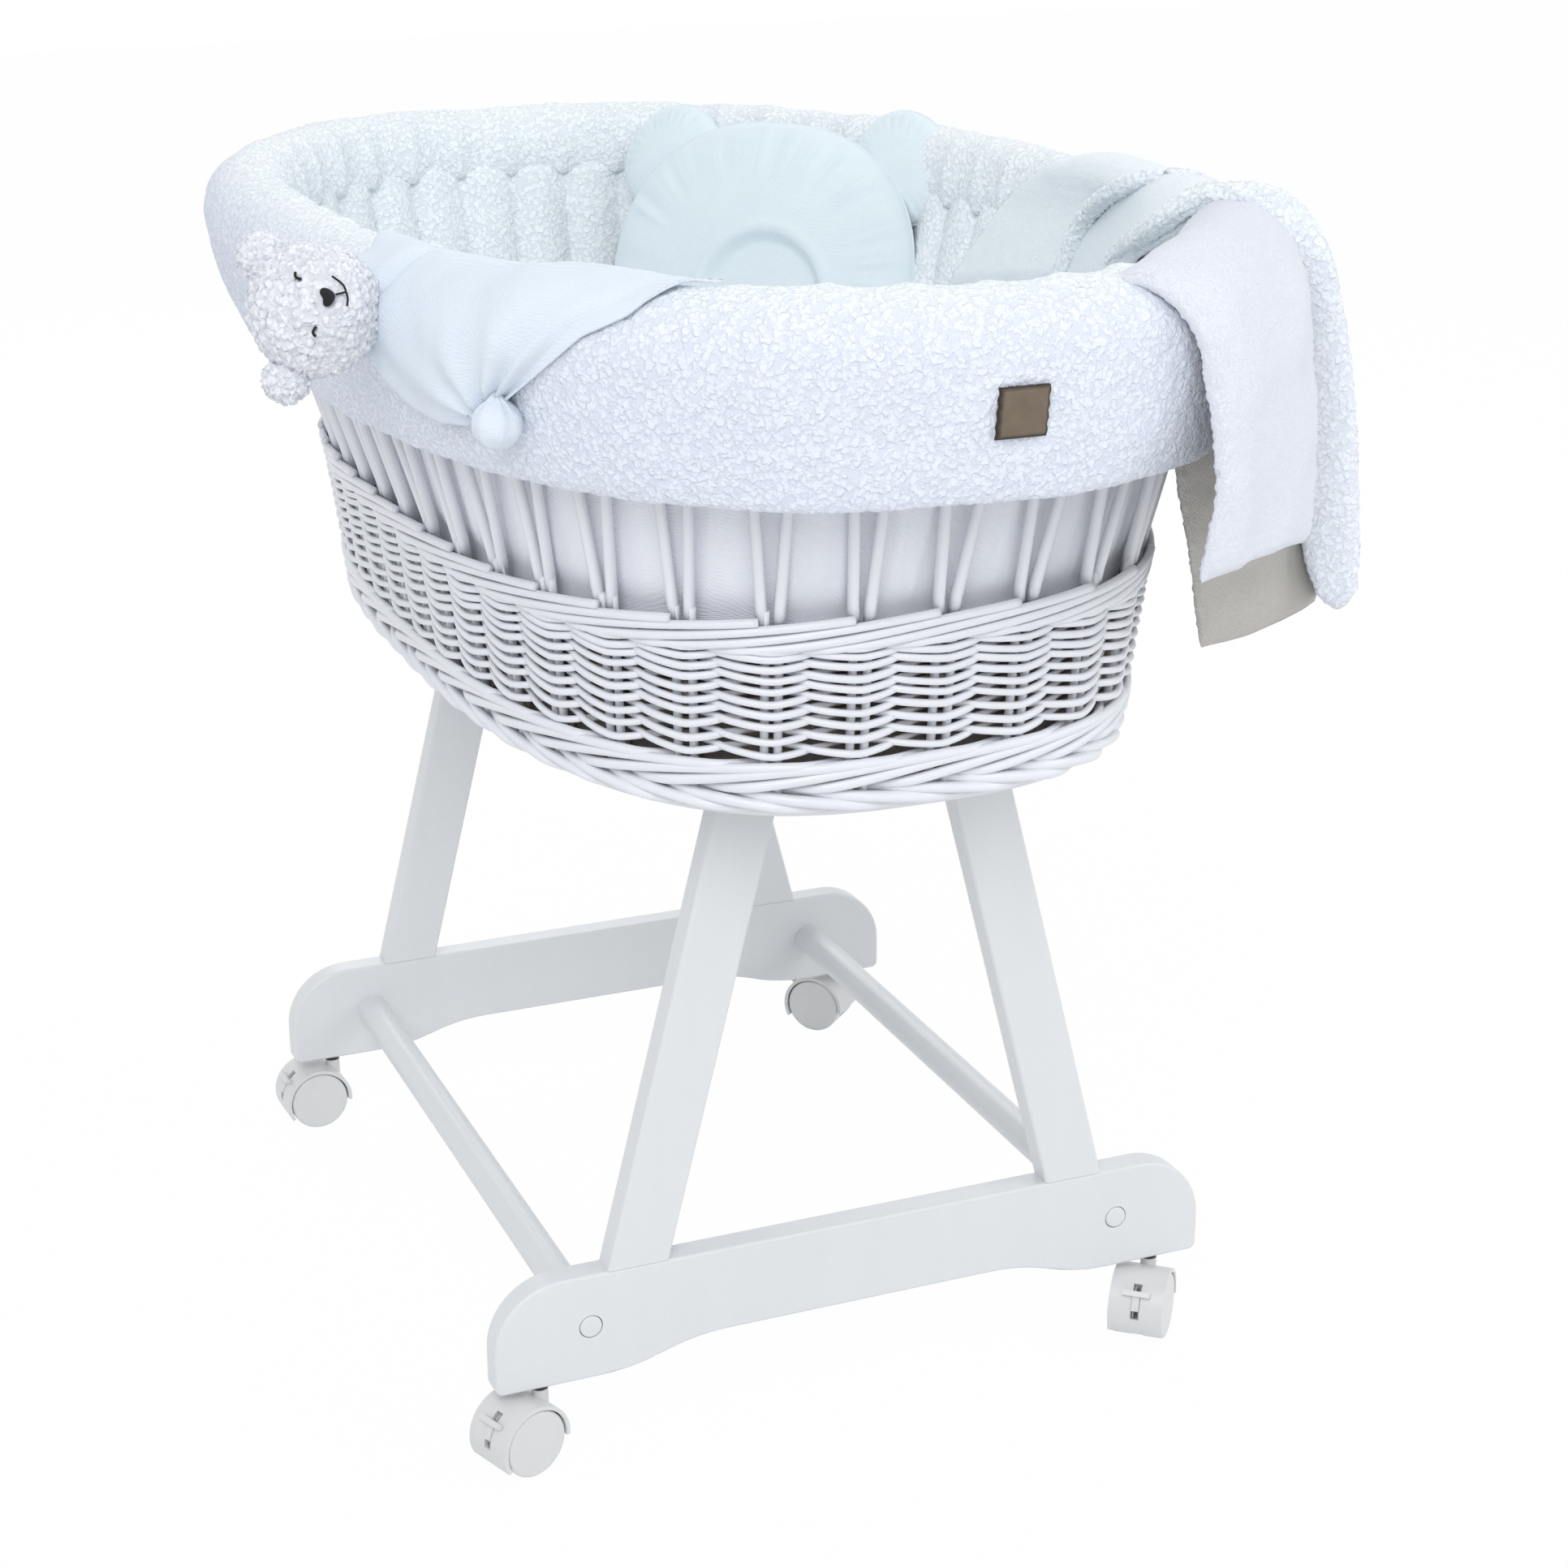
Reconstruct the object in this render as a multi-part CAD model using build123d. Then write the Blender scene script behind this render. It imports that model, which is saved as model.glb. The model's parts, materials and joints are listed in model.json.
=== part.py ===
from build123d import *
import os
from math import cos, pi, radians, sin, tan

# Bassinet on a wheeled stand. Millimetres, +Z up, origin on the floor under the middle of the stand.
# +X runs along the foot rails, +Y towards the head end of the basket.

# Clearances
FIT = 0.05           # radial clearance of dowels, bolts and running pins in their holes
SOFT_GAP = 0.4       # between soft pieces and what they lie on
JOIN = 0.5           # overlap used where shapes of one piece are fused

# Stand boards
BOARD = 18.0
RAIL_Y = 256.0               # middle of each foot rail
RAIL_HEIGHT = 70.0
RAIL_OVERHANG = 30.0         # past the caster stems
RAIL_END_RADIUS = 44.0
RAIL_TOE_RADIUS = 5.0
RAIL_FOOT_LENGTH = 66.0      # level stretch of the underside at each end
RAIL_WAVE_LENGTH = 84.0      # run of the curve up to the arch
RAIL_ARCH_RISE = 14.0
EDGE_ROUND = 2.0
LEG_FOOT_X = 147.6           # middle of a leg on the rail
LEG_WIDTH = 39.5             # measured level
LEG_LEAN = 14.4
PLATFORM_TOP = 423.0         # where the basket stands
BEARER_THICK = 18.0
BEARER_DEPTH = 60.0
BEARER_MARGIN = 2.0
SLAT_WIDTH = 40.0

# Stretchers and fasteners
STRETCHER_D = 22.0
STRETCHER_X = 179.0
STRETCHER_ABOVE_UNDERSIDE = 35.5
BOLT_D = 6.0
BOLT_HEAD_D = 12.0
BOLT_HEAD_H = 4.0
BOLT_IN_STRETCHER = 40.0
CAP_D = 15.0
CAP_THICK = 2.0
CAP_GAP = 0.3
DOWEL_D = 8.0
DOWEL_LENGTH = 40.0
LEG_DOWEL_SPACING = 18.0
SLAT_DOWEL_SPACING = 20.0
SCREW_D = 4.5
SCREW_HEAD_D = 8.0
SCREW_HEAD_H = 2.5
SCREW_LENGTH = 50.0
SCREW_SPACING = 14.0

# Casters: local frame has the stem on Z, the wheels trailing along +X and the axle along Y
STEM_X = 210.0
CASTERS = {
    "front_left": (-1, -1, 200.0),
    "front_right": (1, -1, 229.0),
    "rear_left": (-1, 1, 183.0),
    "rear_right": (1, 1, 133.0),
}
TRAIL = 16.0
WHEEL_R = 21.5
WHEEL_WIDTH = 14.8
WHEEL_ROUND = 2.0
WHEEL_SIDE_GAP = 0.4
WHEEL_RIM_GAP = 0.8
AXLE_R = 2.5
AXLE_IN_WHEEL = 10.5
AXLE_END_GAP = 0.5
HOOD_WALL = 2.5
HOOD_PROUD = 0.4             # past the wheels' outer faces
HOOD_FROM = -28.0            # degrees round the axle, from the trailing side over the top
HOOD_TO = 186.0
WEB_THICK = 4.4
HUB_R = 6.0
NECK_D = 10.5
NECK_RISE = 1.0              # above the top of the hood
STEM_D = 8.0
STEM_IN_NECK = 7.6           # depth of the stem's bore in the hood
STEM_END_GAP = 0.3
SOCKET_D = 10.0
SOCKET_GAP = 0.3             # between the neck and the socket's collar
SOCKET_COLLAR = 3.4          # height of the socket below the rail
SOCKET_IN_RAIL = 36.0
LEVER_PLATE = 2.6
LEVER_LEG = 5.0
LEVER_BAR = 18.0
LEVER_BAR_THICK = 4.0
LEVER_PIVOT_INSET = 3.5      # inside the wheel's tread
LEVER_PIVOT_ANGLE = 20.0
LEVER_PIN_R = 1.2
LEVER_SIDE_GAP = 0.15
LEVER_FROM = 14.0
LEVER_TO = 42.0
LEVER_BAR_FROM = 35.0
LEVER_SLOT_GAP = 0.3
LEVER_SWING_ROOM = 14.0      # degrees left free past each end of the lever

# Basket lines: half width, half length, roundness power and height of the wall's middle
BORDER_HEIGHT = 20.0
FOOT_LINE = (197.0, 361.0, 2.8, PLATFORM_TOP + BORDER_HEIGHT)
WAIST_LINE = (211.0, 372.0, 2.8, PLATFORM_TOP + 123.5)
RIM_LINE = (260.0, 420.0, 2.4, PLATFORM_TOP + 281.0)
BORDER_OUT = 7.0
BORDER_IN = 15.0
BAND_HALF = 6.0
WALE_HEIGHT = 10.0
WALE_OUT = 8.0
RIM_HALF = 8.0
STAKE_D = 7.0
STAKE_PAIRS = 40
STAKE_PAIR_GAP = 9.0
STAKE_LEAN = 0.16            # of the pair spacing, at the rim
STAKE_LEAN_BACK = 0.22       # the same for the other rod of a pair, the other way
STAKE_END_GAP = 0.3

# Liner, measured inwards from the wall's middle
BAG_THICK = 1.5
BUMPER_THICK = 12.0
BUMPER_CHANNELS = 52
CHANNEL_DEPTH = 4.0
CUFF_POWER = 2.4
# Cuff outside: beyond the rim at the sides, at the ends, and height from the rim's middle
CUFF_OUTSIDE = ((3.0, 20.0, -84.5), (18.0, 29.0, -49.0), (29.0, 33.0, -8.5), (25.0, 28.0, 8.0))
CUFF_CROWN = (CUFF_OUTSIDE[-1], (16.0, 17.0, 20.0), (6.0, 6.0, 24.5))
CUFF_WALL = 14.0
CUFF_LIP_IN = 8.0            # inner edge of the flat top, inside the rim

# Leather patch on the foot end of the cuff
PATCH_WIDTH = 28.0
PATCH_HEIGHT = 27.0
PATCH_THICK = 1.6
PATCH_X = 2.0
PATCH_BELOW_RIM = 35.5

# Mattress
MATTRESS_THICK = 50.0
MATTRESS_EDGE = 12.0
MATTRESS_CROWN = 4.0
MATTRESS_SIDE_GAP = 1.0

# Pillow, standing on the mattress and leaning on the wall
PILLOW_HALF_W = 123.0
PILLOW_HALF_H = 116.0
PILLOW_POWER = 2.3
PILLOW_THICK = 50.0
PILLOW_EDGE = 30.0
PILLOW_LEAN = 17.0
PILLOW_ANGLE = 60.5          # where it leans, round the basket
PILLOW_STANDOFF = 66.0
PILLOW_FACING = 217.0
PILLOW_DISH_R = 43.0
PILLOW_DISH_DEPTH = 11.0
PILLOW_DISH_DROP = 14.0
EAR_R = 38.0
EAR_THICK = 24.0
EAR_X = 96.0
EAR_Y = 88.0
EAR_BACK = 6.0

# Blanket over the rim: polar angle from and to, thickness, outer and inner hem below the rim's middle
BLANKET_FOLDS = (
    (-77.0, -62.0, 18.0, 163.0, 14.0),
    (-62.0, -48.0, 26.0, 204.0, 14.0),
    (-48.0, -34.0, 32.0, 199.0, 54.0),
    (-34.0, -13.0, 18.0, 14.0, 134.0),
)
# Its far end, on the inside only: the same values without an outer hem, and its top above the rim's middle
BLANKET_TAIL = (-13.0, 14.0, 18.0, 134.0, 6.0)

# Comforter toy on the rim
TOY_ANGLE = 217.0
TOY_HEAD_BELOW_RIM = 2.0
TOY_HEAD_R = 38.0
TOY_HEAD_STANDOFF = 2.6
TOY_EAR_R = 14.0
TOY_EAR_REACH = 40.0
TOY_EAR_UP = (-0.57, 0.48, 0.66)
TOY_EAR_DOWN = (-0.45, -0.05, -0.89)
TOY_CLOTH_FOLDS = ((213.0, 222.0, 6.0), (222.0, 233.0, 9.0), (233.0, 241.0, 6.5), (241.0, 249.0, 8.0))
TOY_CLOTH_DROP = 60.0         # lower edge below the rim's middle, near the head
TOY_CLOTH_RISE = 130.0        # of the lower edge towards the far end
TOY_KNOT_ANGLE = 234.0
TOY_KNOT_R = 13.0
TOY_KNOT_BELOW_RIM = 48.0
TOY_BALL_GAP = 0.6

PLAN_REACH = 2 * RIM_LINE[1]  # farther out than anything
OVAL_POINTS = 32
OVAL_SAMPLES = 720

# Derived heights and reaches
AXLE_Z = WHEEL_R
HOOD_INNER = WHEEL_R + WHEEL_RIM_GAP
HOOD_R = HOOD_INNER + HOOD_WALL
HOOD_WIDTH = WEB_THICK + 2 * (WHEEL_SIDE_GAP + WHEEL_WIDTH + HOOD_PROUD)
LEVER_PIVOT_R = WHEEL_R - LEVER_PIVOT_INSET
NECK_TOP = AXLE_Z + HOOD_R + NECK_RISE
STEM_SEAT = NECK_TOP - STEM_IN_NECK
SOCKET_BOTTOM = NECK_TOP + SOCKET_GAP
RAIL_UNDERSIDE = SOCKET_BOTTOM + SOCKET_COLLAR
STRETCHER_Z = RAIL_UNDERSIDE + STRETCHER_ABOVE_UNDERSIDE
RAIL_TOP = RAIL_UNDERSIDE + RAIL_HEIGHT
RAIL_FACE = RAIL_Y + BOARD / 2
LEG_TOP = PLATFORM_TOP - BEARER_THICK
LEG_SLOPE = tan(radians(LEG_LEAN))
LEG_TOP_X = LEG_FOOT_X - LEG_SLOPE * (LEG_TOP - RAIL_TOP)
BEARER_HALF = LEG_TOP_X + LEG_WIDTH / 2 + BEARER_MARGIN
RIM_Z = RIM_LINE[3]
WAIST_Z = WAIST_LINE[3]
FOOT_Z = FOOT_LINE[3]
BAG_OFFSET = BAND_HALF + SOFT_GAP
BUMPER_OUT = BAG_OFFSET + BAG_THICK + SOFT_GAP
BUMPER_IN = BUMPER_OUT + BUMPER_THICK
BUMPER_TOP = RIM_Z - RIM_HALF - SOFT_GAP
BAG_FLOOR = FOOT_Z + SOFT_GAP
MATTRESS_BOTTOM = BAG_FLOOR + BAG_THICK + SOFT_GAP
MATTRESS_TOP = MATTRESS_BOTTOM + MATTRESS_THICK


def save(shape, node):
    export_step(shape, f"parts/{node}.step")


def group(solids):
    return Compound(children=list(solids))


def box_between(low, high):
    size = [h - l for l, h in zip(low, high)]
    middle = [(l + h) / 2 for l, h in zip(low, high)]
    return Pos(*middle) * Box(*size)


def rod_y(radius, x, z, y_from, y_to):
    """Round rod along Y."""
    return Pos(x, (y_from + y_to) / 2, z) * Rot(X=90) * Cylinder(radius, abs(y_to - y_from))


def rod_z(radius, x, y, z_from, z_to):
    """Round rod along Z."""
    return Pos(x, y, (z_from + z_to) / 2) * Cylinder(radius, abs(z_to - z_from))


# Superellipse rings of the basket, each (half width, half length, power, height)

def polar_point(ring, angle):
    half_width, half_length, power, z = ring
    c, s = cos(angle), sin(angle)
    reach = (abs(c / half_width) ** power + abs(s / half_length) ** power) ** (-1 / power)
    return Vector(reach * c, reach * s, z)


def even_angles(ring, count, shift=0.0):
    """Polar angles of points spaced evenly along the ring; shift is in spacings."""
    angles = [2 * pi * i / OVAL_SAMPLES for i in range(OVAL_SAMPLES + 1)]
    points = [polar_point(ring, a) for a in angles]
    run = [0.0]
    for a, b in zip(points, points[1:]):
        run.append(run[-1] + (b - a).length)
    found = []
    for i in range(count):
        target = run[-1] * (((i + shift) / count) % 1.0)
        k = max(j for j in range(OVAL_SAMPLES) if run[j] <= target)
        part = (target - run[k]) / (run[k + 1] - run[k])
        found.append(angles[k] + part * (angles[k + 1] - angles[k]))
    return found


def oval(ring):
    return Wire([Spline([polar_point(ring, a) for a in even_angles(ring, OVAL_POINTS)], periodic=True)])


def stack(rings):
    return Solid.make_loft([oval(ring) for ring in rings], ruled=True)


def shell(outer, inner):
    return stack(outer) - stack(inner)


def wall_ring(z, offset):
    """Ring of the basket's wall at a height, moved outwards by offset."""
    low, high = (FOOT_LINE, WAIST_LINE) if z <= WAIST_Z else (WAIST_LINE, RIM_LINE)
    part = max(0.0, (z - low[3]) / (high[3] - low[3]))
    width, length, power = [a + part * (b - a) for a, b in zip(low[:3], high[:3])]
    return (width + offset, length + offset, power, z)


def wall_shell(levels, outwards, inwards):
    return shell([wall_ring(z, outwards) for z in levels], [wall_ring(z, -inwards) for z in levels])


def inside_room(levels, offset):
    """Room inside the bumper, going straight up above the rim."""
    rings = [wall_ring(min(z, RIM_Z), -BUMPER_IN - offset) for z in levels]
    return stack([(*ring[:3], z) for ring, z in zip(rings, levels)])


def cuff_ring(step, grow=0.0, z=None):
    side, end, height = step
    level = RIM_Z + height if z is None else z
    return (RIM_LINE[0] + side + grow, RIM_LINE[1] + end + grow, CUFF_POWER, level)


def cuff_outline(grow):
    """Solid inside the outer face of the cuff, grown by a distance, open to the hem."""
    rings = [cuff_ring(step, grow) for step in CUFF_OUTSIDE]
    for step in CUFF_CROWN[1:]:
        rings.append(cuff_ring(step, grow))
    rings[-1] = cuff_ring(CUFF_CROWN[-1], grow, RIM_Z + CUFF_CROWN[-1][2] + grow)
    return stack(rings)


def wedge(angle_from, angle_to, z_from, z_to):
    """Upright slice of the plan between two polar angles in degrees."""
    corners = [Vector(0, 0, z_from)]
    for angle in (radians(angle_from), radians(angle_to)):
        corners.append(Vector(PLAN_REACH * cos(angle), PLAN_REACH * sin(angle), z_from))
    return extrude(Face(Wire.make_polygon(corners)), amount=z_to - z_from, dir=(0, 0, 1))


# Stand

def rail_outline():
    half = STEM_X + RAIL_OVERHANG
    arch = RAIL_UNDERSIDE + RAIL_ARCH_RISE
    wave_end = half - RAIL_FOOT_LENGTH
    wave_start = wave_end - RAIL_WAVE_LENGTH
    wave_middle = ((wave_start + wave_end) / 2, (arch + RAIL_UNDERSIDE) / 2)
    with BuildSketch() as outline:
        with BuildLine():
            middle = Line((0, arch), (wave_start, arch))
            down = TangentArc(middle @ 1, wave_middle, tangent=(1, 0))
            level = TangentArc(down @ 1, (wave_end, RAIL_UNDERSIDE), tangent=down % 1)
            foot = Line(level @ 1, (half - RAIL_TOE_RADIUS, RAIL_UNDERSIDE))
            toe = TangentArc(foot @ 1, (half, RAIL_UNDERSIDE + RAIL_TOE_RADIUS), tangent=(1, 0))
            end = Line(toe @ 1, (half, RAIL_TOP - RAIL_END_RADIUS))
            shoulder = TangentArc(end @ 1, (half - RAIL_END_RADIUS, RAIL_TOP), tangent=(0, 1))
            Line(shoulder @ 1, (0, RAIL_TOP))
            mirror(about=Plane.YZ)
        make_face()
    return outline.sketch


def upright_board(sketch, y):
    """Board of the stand's thickness with its outline drawn in X and Z."""
    plane = Plane(origin=(0, y, 0), x_dir=(1, 0, 0), z_dir=(0, -1, 0))
    return extrude(plane * sketch, amount=BOARD / 2, both=True)


def leg_dowel(side_x, side_y, extra=0.0):
    """Dowels of one leg's foot, along the leg; extra is added to the radius."""
    pins = []
    for k in (-1, 1):
        x = side_x * (LEG_FOOT_X + k * LEG_DOWEL_SPACING / 2)
        spot = Pos(x, side_y * RAIL_Y, RAIL_TOP) * Rot(Y=-side_x * LEG_LEAN)
        pins.append(spot * Cylinder(DOWEL_D / 2 + extra, DOWEL_LENGTH))
    return pins


def bearer_screw(side_x, side_y, extra=0.0):
    screws = []
    for k in (-1, 1):
        x = side_x * (LEG_TOP_X + k * SCREW_SPACING / 2)
        shank = rod_z(SCREW_D / 2 + extra, x, side_y * RAIL_Y, PLATFORM_TOP - SCREW_LENGTH, PLATFORM_TOP)
        head_low = PLATFORM_TOP - SCREW_HEAD_H - extra
        screws.append(shank + rod_z(SCREW_HEAD_D / 2 + extra, x, side_y * RAIL_Y, head_low, PLATFORM_TOP))
    return screws


def stretcher_bolt(side_x, side_y, extra=0.0):
    x = side_x * STRETCHER_X
    head_out = RAIL_FACE - CAP_THICK - CAP_GAP
    shank_end = RAIL_Y - BOARD / 2 - BOLT_IN_STRETCHER
    head = rod_y(BOLT_HEAD_D / 2, x, STRETCHER_Z, side_y * head_out, side_y * (head_out - BOLT_HEAD_H))
    return head + rod_y(BOLT_D / 2 + extra, x, STRETCHER_Z, side_y * head_out, side_y * (shank_end - extra))


def slat_dowel(side_x, side_y, extra=0.0):
    inner = RAIL_FACE - BEARER_DEPTH
    pins = []
    for k in (-1, 1):
        x = side_x * (BEARER_HALF - SLAT_WIDTH / 2) + k * SLAT_DOWEL_SPACING / 2
        y_from = side_y * (inner - DOWEL_LENGTH / 2 - extra)
        y_to = side_y * (inner + DOWEL_LENGTH / 2 + extra)
        pins.append(rod_y(DOWEL_D / 2 + extra, x, PLATFORM_TOP - BEARER_THICK / 2, y_from, y_to))
    return pins


def make_foot_rail(side_y):
    rail = upright_board(rail_outline(), side_y * RAIL_Y)
    rail = fillet(rail.faces().filter_by(Axis.Y).edges(), EDGE_ROUND)
    counterbore = CAP_THICK + CAP_GAP + BOLT_HEAD_H
    for side_x in (-1, 1):
        x = side_x * STRETCHER_X
        rail -= rod_y(CAP_D / 2, x, STRETCHER_Z, side_y * (RAIL_FACE - counterbore), side_y * (RAIL_FACE + 1))
        rail -= rod_y(BOLT_D / 2 + FIT, x, STRETCHER_Z, side_y * (RAIL_Y - BOARD), side_y * RAIL_FACE)
        socket_top = RAIL_UNDERSIDE + SOCKET_IN_RAIL
        socket_low = RAIL_UNDERSIDE - 1
        rail -= rod_z(SOCKET_D / 2 + FIT, side_x * STEM_X, side_y * RAIL_Y, socket_low, socket_top + FIT)
        for pin in leg_dowel(side_x, side_y, FIT):
            rail -= pin
    return rail


def make_leg(side_x, side_y):
    foot = [(side_x * (LEG_FOOT_X + k * LEG_WIDTH / 2), RAIL_TOP) for k in (-1, 1)]
    top = [(side_x * (LEG_TOP_X + k * LEG_WIDTH / 2), LEG_TOP) for k in (1, -1)]
    leg = upright_board(make_face(Polyline(*foot, *top, close=True)), side_y * RAIL_Y)
    long_edges = leg.edges().filter_by(lambda e: abs((e % 0.5).Z) > 0.5)
    leg = fillet(long_edges, EDGE_ROUND)
    for pin in leg_dowel(side_x, side_y, FIT) + bearer_screw(side_x, side_y, FIT):
        leg -= pin
    return leg


def make_stretcher(side_x):
    inner = RAIL_Y - BOARD / 2
    rod = rod_y(STRETCHER_D / 2, side_x * STRETCHER_X, STRETCHER_Z, -inner, inner)
    for side_y in (-1, 1):
        rod -= stretcher_bolt(side_x, side_y, FIT)
    return rod


def make_bearer(side_y):
    outer, inner = RAIL_FACE, RAIL_FACE - BEARER_DEPTH
    y_low, y_high = sorted((side_y * outer, side_y * inner))
    bearer = box_between((-BEARER_HALF, y_low, LEG_TOP), (BEARER_HALF, y_high, PLATFORM_TOP))
    for side_x in (-1, 1):
        for pin in bearer_screw(side_x, side_y, FIT) + slat_dowel(side_x, side_y, FIT):
            bearer -= pin
    return bearer


def make_slat(side_x):
    inner = RAIL_FACE - BEARER_DEPTH
    x_low, x_high = sorted((side_x * BEARER_HALF, side_x * (BEARER_HALF - SLAT_WIDTH)))
    slat = box_between((x_low, -inner, LEG_TOP), (x_high, inner, PLATFORM_TOP))
    for side_y in (-1, 1):
        for pin in slat_dowel(side_x, side_y, FIT):
            slat -= pin
    return slat


def build_stand():
    corners = [(sx, sy) for sx in (-1, 1) for sy in (-1, 1)]
    for side_y, end in ((-1, "front"), (1, "rear")):
        save(make_foot_rail(side_y), f"foot_rail_{end}")
        save(make_bearer(side_y), f"bearer_{end}")
        for side_x, hand in ((-1, "left"), (1, "right")):
            save(make_leg(side_x, side_y), f"leg_{end}_{hand}")
    for side_x, hand in ((-1, "left"), (1, "right")):
        save(make_stretcher(side_x), f"stretcher_{hand}")
        save(make_slat(side_x), f"slat_{hand}")
    save(group(stretcher_bolt(*c) for c in corners), "stretcher_bolts")
    caps = [
        rod_y(CAP_D / 2 - FIT, sx * STRETCHER_X, STRETCHER_Z, sy * (RAIL_FACE - CAP_THICK), sy * RAIL_FACE)
        for sx, sy in corners
    ]
    save(group(caps), "cover_caps")
    save(group(pin for c in corners for pin in leg_dowel(*c)), "leg_dowels")
    save(group(screw for c in corners for screw in bearer_screw(*c)), "bearer_screws")
    save(group(pin for c in corners for pin in slat_dowel(*c)), "slat_dowels")


# Casters

def hub_rod(radius, half_width):
    """Rod along the axle."""
    return rod_y(radius, TRAIL, AXLE_Z, -half_width, half_width)


def hub_slice(angle_from, angle_to, half_width):
    """Wedge round the axle between two angles, from the trailing side upwards."""
    reach = 4 * HOOD_R
    steps = 6
    corners = [Vector(TRAIL, -half_width, AXLE_Z)]
    for i in range(steps + 1):
        a = radians(angle_from + (angle_to - angle_from) * i / steps)
        corners.append(Vector(TRAIL + reach * cos(a), -half_width, AXLE_Z + reach * sin(a)))
    return extrude(Face(Wire.make_polygon(corners)), amount=2 * half_width, dir=(0, 1, 0))


def hub_ring(r_from, r_to, angle_from, angle_to, half_width):
    ring = hub_rod(r_to, half_width) - hub_rod(r_from, half_width)
    return ring & hub_slice(angle_from, angle_to, half_width)


def lever_pivot():
    a = radians(LEVER_PIVOT_ANGLE)
    return TRAIL + LEVER_PIVOT_R * cos(a), AXLE_Z + LEVER_PIVOT_R * sin(a)


def make_hood():
    cover = hub_ring(HOOD_INNER, HOOD_R, HOOD_FROM, HOOD_TO, HOOD_WIDTH / 2)
    neck = rod_z(NECK_D / 2, 0, 0, AXLE_Z, NECK_TOP) - hub_rod(HOOD_INNER, HOOD_WIDTH)
    web = hub_rod(HOOD_INNER + JOIN, WEB_THICK / 2) & hub_slice(HOOD_FROM, HOOD_TO, WEB_THICK)
    hood = cover + neck + web + hub_rod(HUB_R, WEB_THICK / 2)
    hood -= rod_z(STEM_D / 2 + FIT, 0, 0, STEM_SEAT, NECK_TOP + 1)
    hood -= hub_rod(AXLE_R + FIT, WEB_THICK)
    slot_from, slot_to = LEVER_FROM - LEVER_SWING_ROOM, LEVER_TO + LEVER_SWING_ROOM
    leg_room = LEVER_LEG / 2 + LEVER_SLOT_GAP
    hood -= hub_ring(WHEEL_R - WHEEL_RIM_GAP, HOOD_R + 1, slot_from, slot_to, leg_room)
    plate_room = LEVER_PLATE / 2 + LEVER_SIDE_GAP
    hood -= hub_ring(HUB_R + WEB_THICK, HOOD_INNER + 1, slot_from - LEVER_SWING_ROOM, slot_to, plate_room)
    x, z = lever_pivot()
    return hood - rod_y(LEVER_PIN_R + FIT, x, z, -WEB_THICK, WEB_THICK)


def make_lever():
    plate_in = LEVER_PIVOT_R - 3 * LEVER_PIN_R
    plate = hub_ring(plate_in, HOOD_INNER, LEVER_FROM, LEVER_TO, LEVER_PLATE / 2)
    bar_in = HOOD_R + LEVER_SLOT_GAP
    leg = hub_ring(HOOD_INNER - LEVER_SLOT_GAP, bar_in + JOIN, LEVER_FROM, LEVER_TO, LEVER_LEG / 2)
    bar = hub_ring(bar_in, bar_in + LEVER_BAR_THICK, LEVER_BAR_FROM, LEVER_TO, LEVER_BAR / 2)
    x, z = lever_pivot()
    return plate + leg + bar + rod_y(LEVER_PIN_R, x, z, -WEB_THICK / 2, WEB_THICK / 2)


def make_wheel(side):
    inner = WEB_THICK / 2 + WHEEL_SIDE_GAP
    wheel = rod_y(WHEEL_R, TRAIL, AXLE_Z, side * inner, side * (inner + WHEEL_WIDTH))
    wheel = fillet(wheel.edges().filter_by(GeomType.CIRCLE), WHEEL_ROUND)
    bore_end = inner + AXLE_IN_WHEEL + AXLE_END_GAP
    return wheel - rod_y(AXLE_R + FIT, TRAIL, AXLE_Z, side * (inner - 1), side * bore_end)


def make_axle():
    return hub_rod(AXLE_R, WEB_THICK / 2 + WHEEL_SIDE_GAP + AXLE_IN_WHEEL)


def build_casters():
    hood, lever, axle = make_hood(), make_lever(), make_axle()
    wheels = {"inner": make_wheel(1), "outer": make_wheel(-1)}
    socket_top = RAIL_UNDERSIDE + SOCKET_IN_RAIL
    stem = rod_z(STEM_D / 2, 0, 0, STEM_SEAT + STEM_END_GAP, socket_top - STEM_END_GAP)
    socket = rod_z(SOCKET_D / 2, 0, 0, SOCKET_BOTTOM, socket_top)
    socket -= rod_z(STEM_D / 2 + FIT, 0, 0, SOCKET_BOTTOM, socket_top)
    sockets = []
    for corner, (side_x, side_y, turn) in CASTERS.items():
        place = Pos(side_x * STEM_X, side_y * RAIL_Y, 0) * Rot(Z=turn)
        sockets.append(place * socket)
        save(place * stem, f"caster_stem_{corner}")
        save(place * hood, f"caster_hood_{corner}")
        save(place * axle, f"caster_axle_{corner}")
        save(place * lever, f"brake_lever_{corner}")
        for hand, wheel in wheels.items():
            save(place * wheel, f"caster_wheel_{hand}_{corner}")
    save(group(sockets), "caster_sockets")


# Basket

def make_stakes():
    """Pairs of rods from the wale to the rim, leaning apart along the wall."""
    low_z = WAIST_Z + STAKE_END_GAP
    high_z = RIM_Z - RIM_HALF - STAKE_END_GAP
    low_ring, high_ring = wall_ring(low_z, 0), wall_ring(high_z, 0)
    apart = STAKE_PAIR_GAP * STAKE_PAIRS / oval(low_ring).length
    rods = []
    for foot_shift, head_shift in ((0.0, -STAKE_LEAN_BACK), (apart, apart + STAKE_LEAN)):
        feet = even_angles(low_ring, STAKE_PAIRS, foot_shift)
        heads = even_angles(high_ring, STAKE_PAIRS, head_shift)
        for foot_angle, head_angle in zip(feet, heads):
            foot, head = polar_point(low_ring, foot_angle), polar_point(high_ring, head_angle)
            run = head - foot
            rods.append(extrude(Pos(*foot) * Circle(STAKE_D / 2), amount=run.length, dir=run.normalized()))
    return group(rods)


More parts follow.
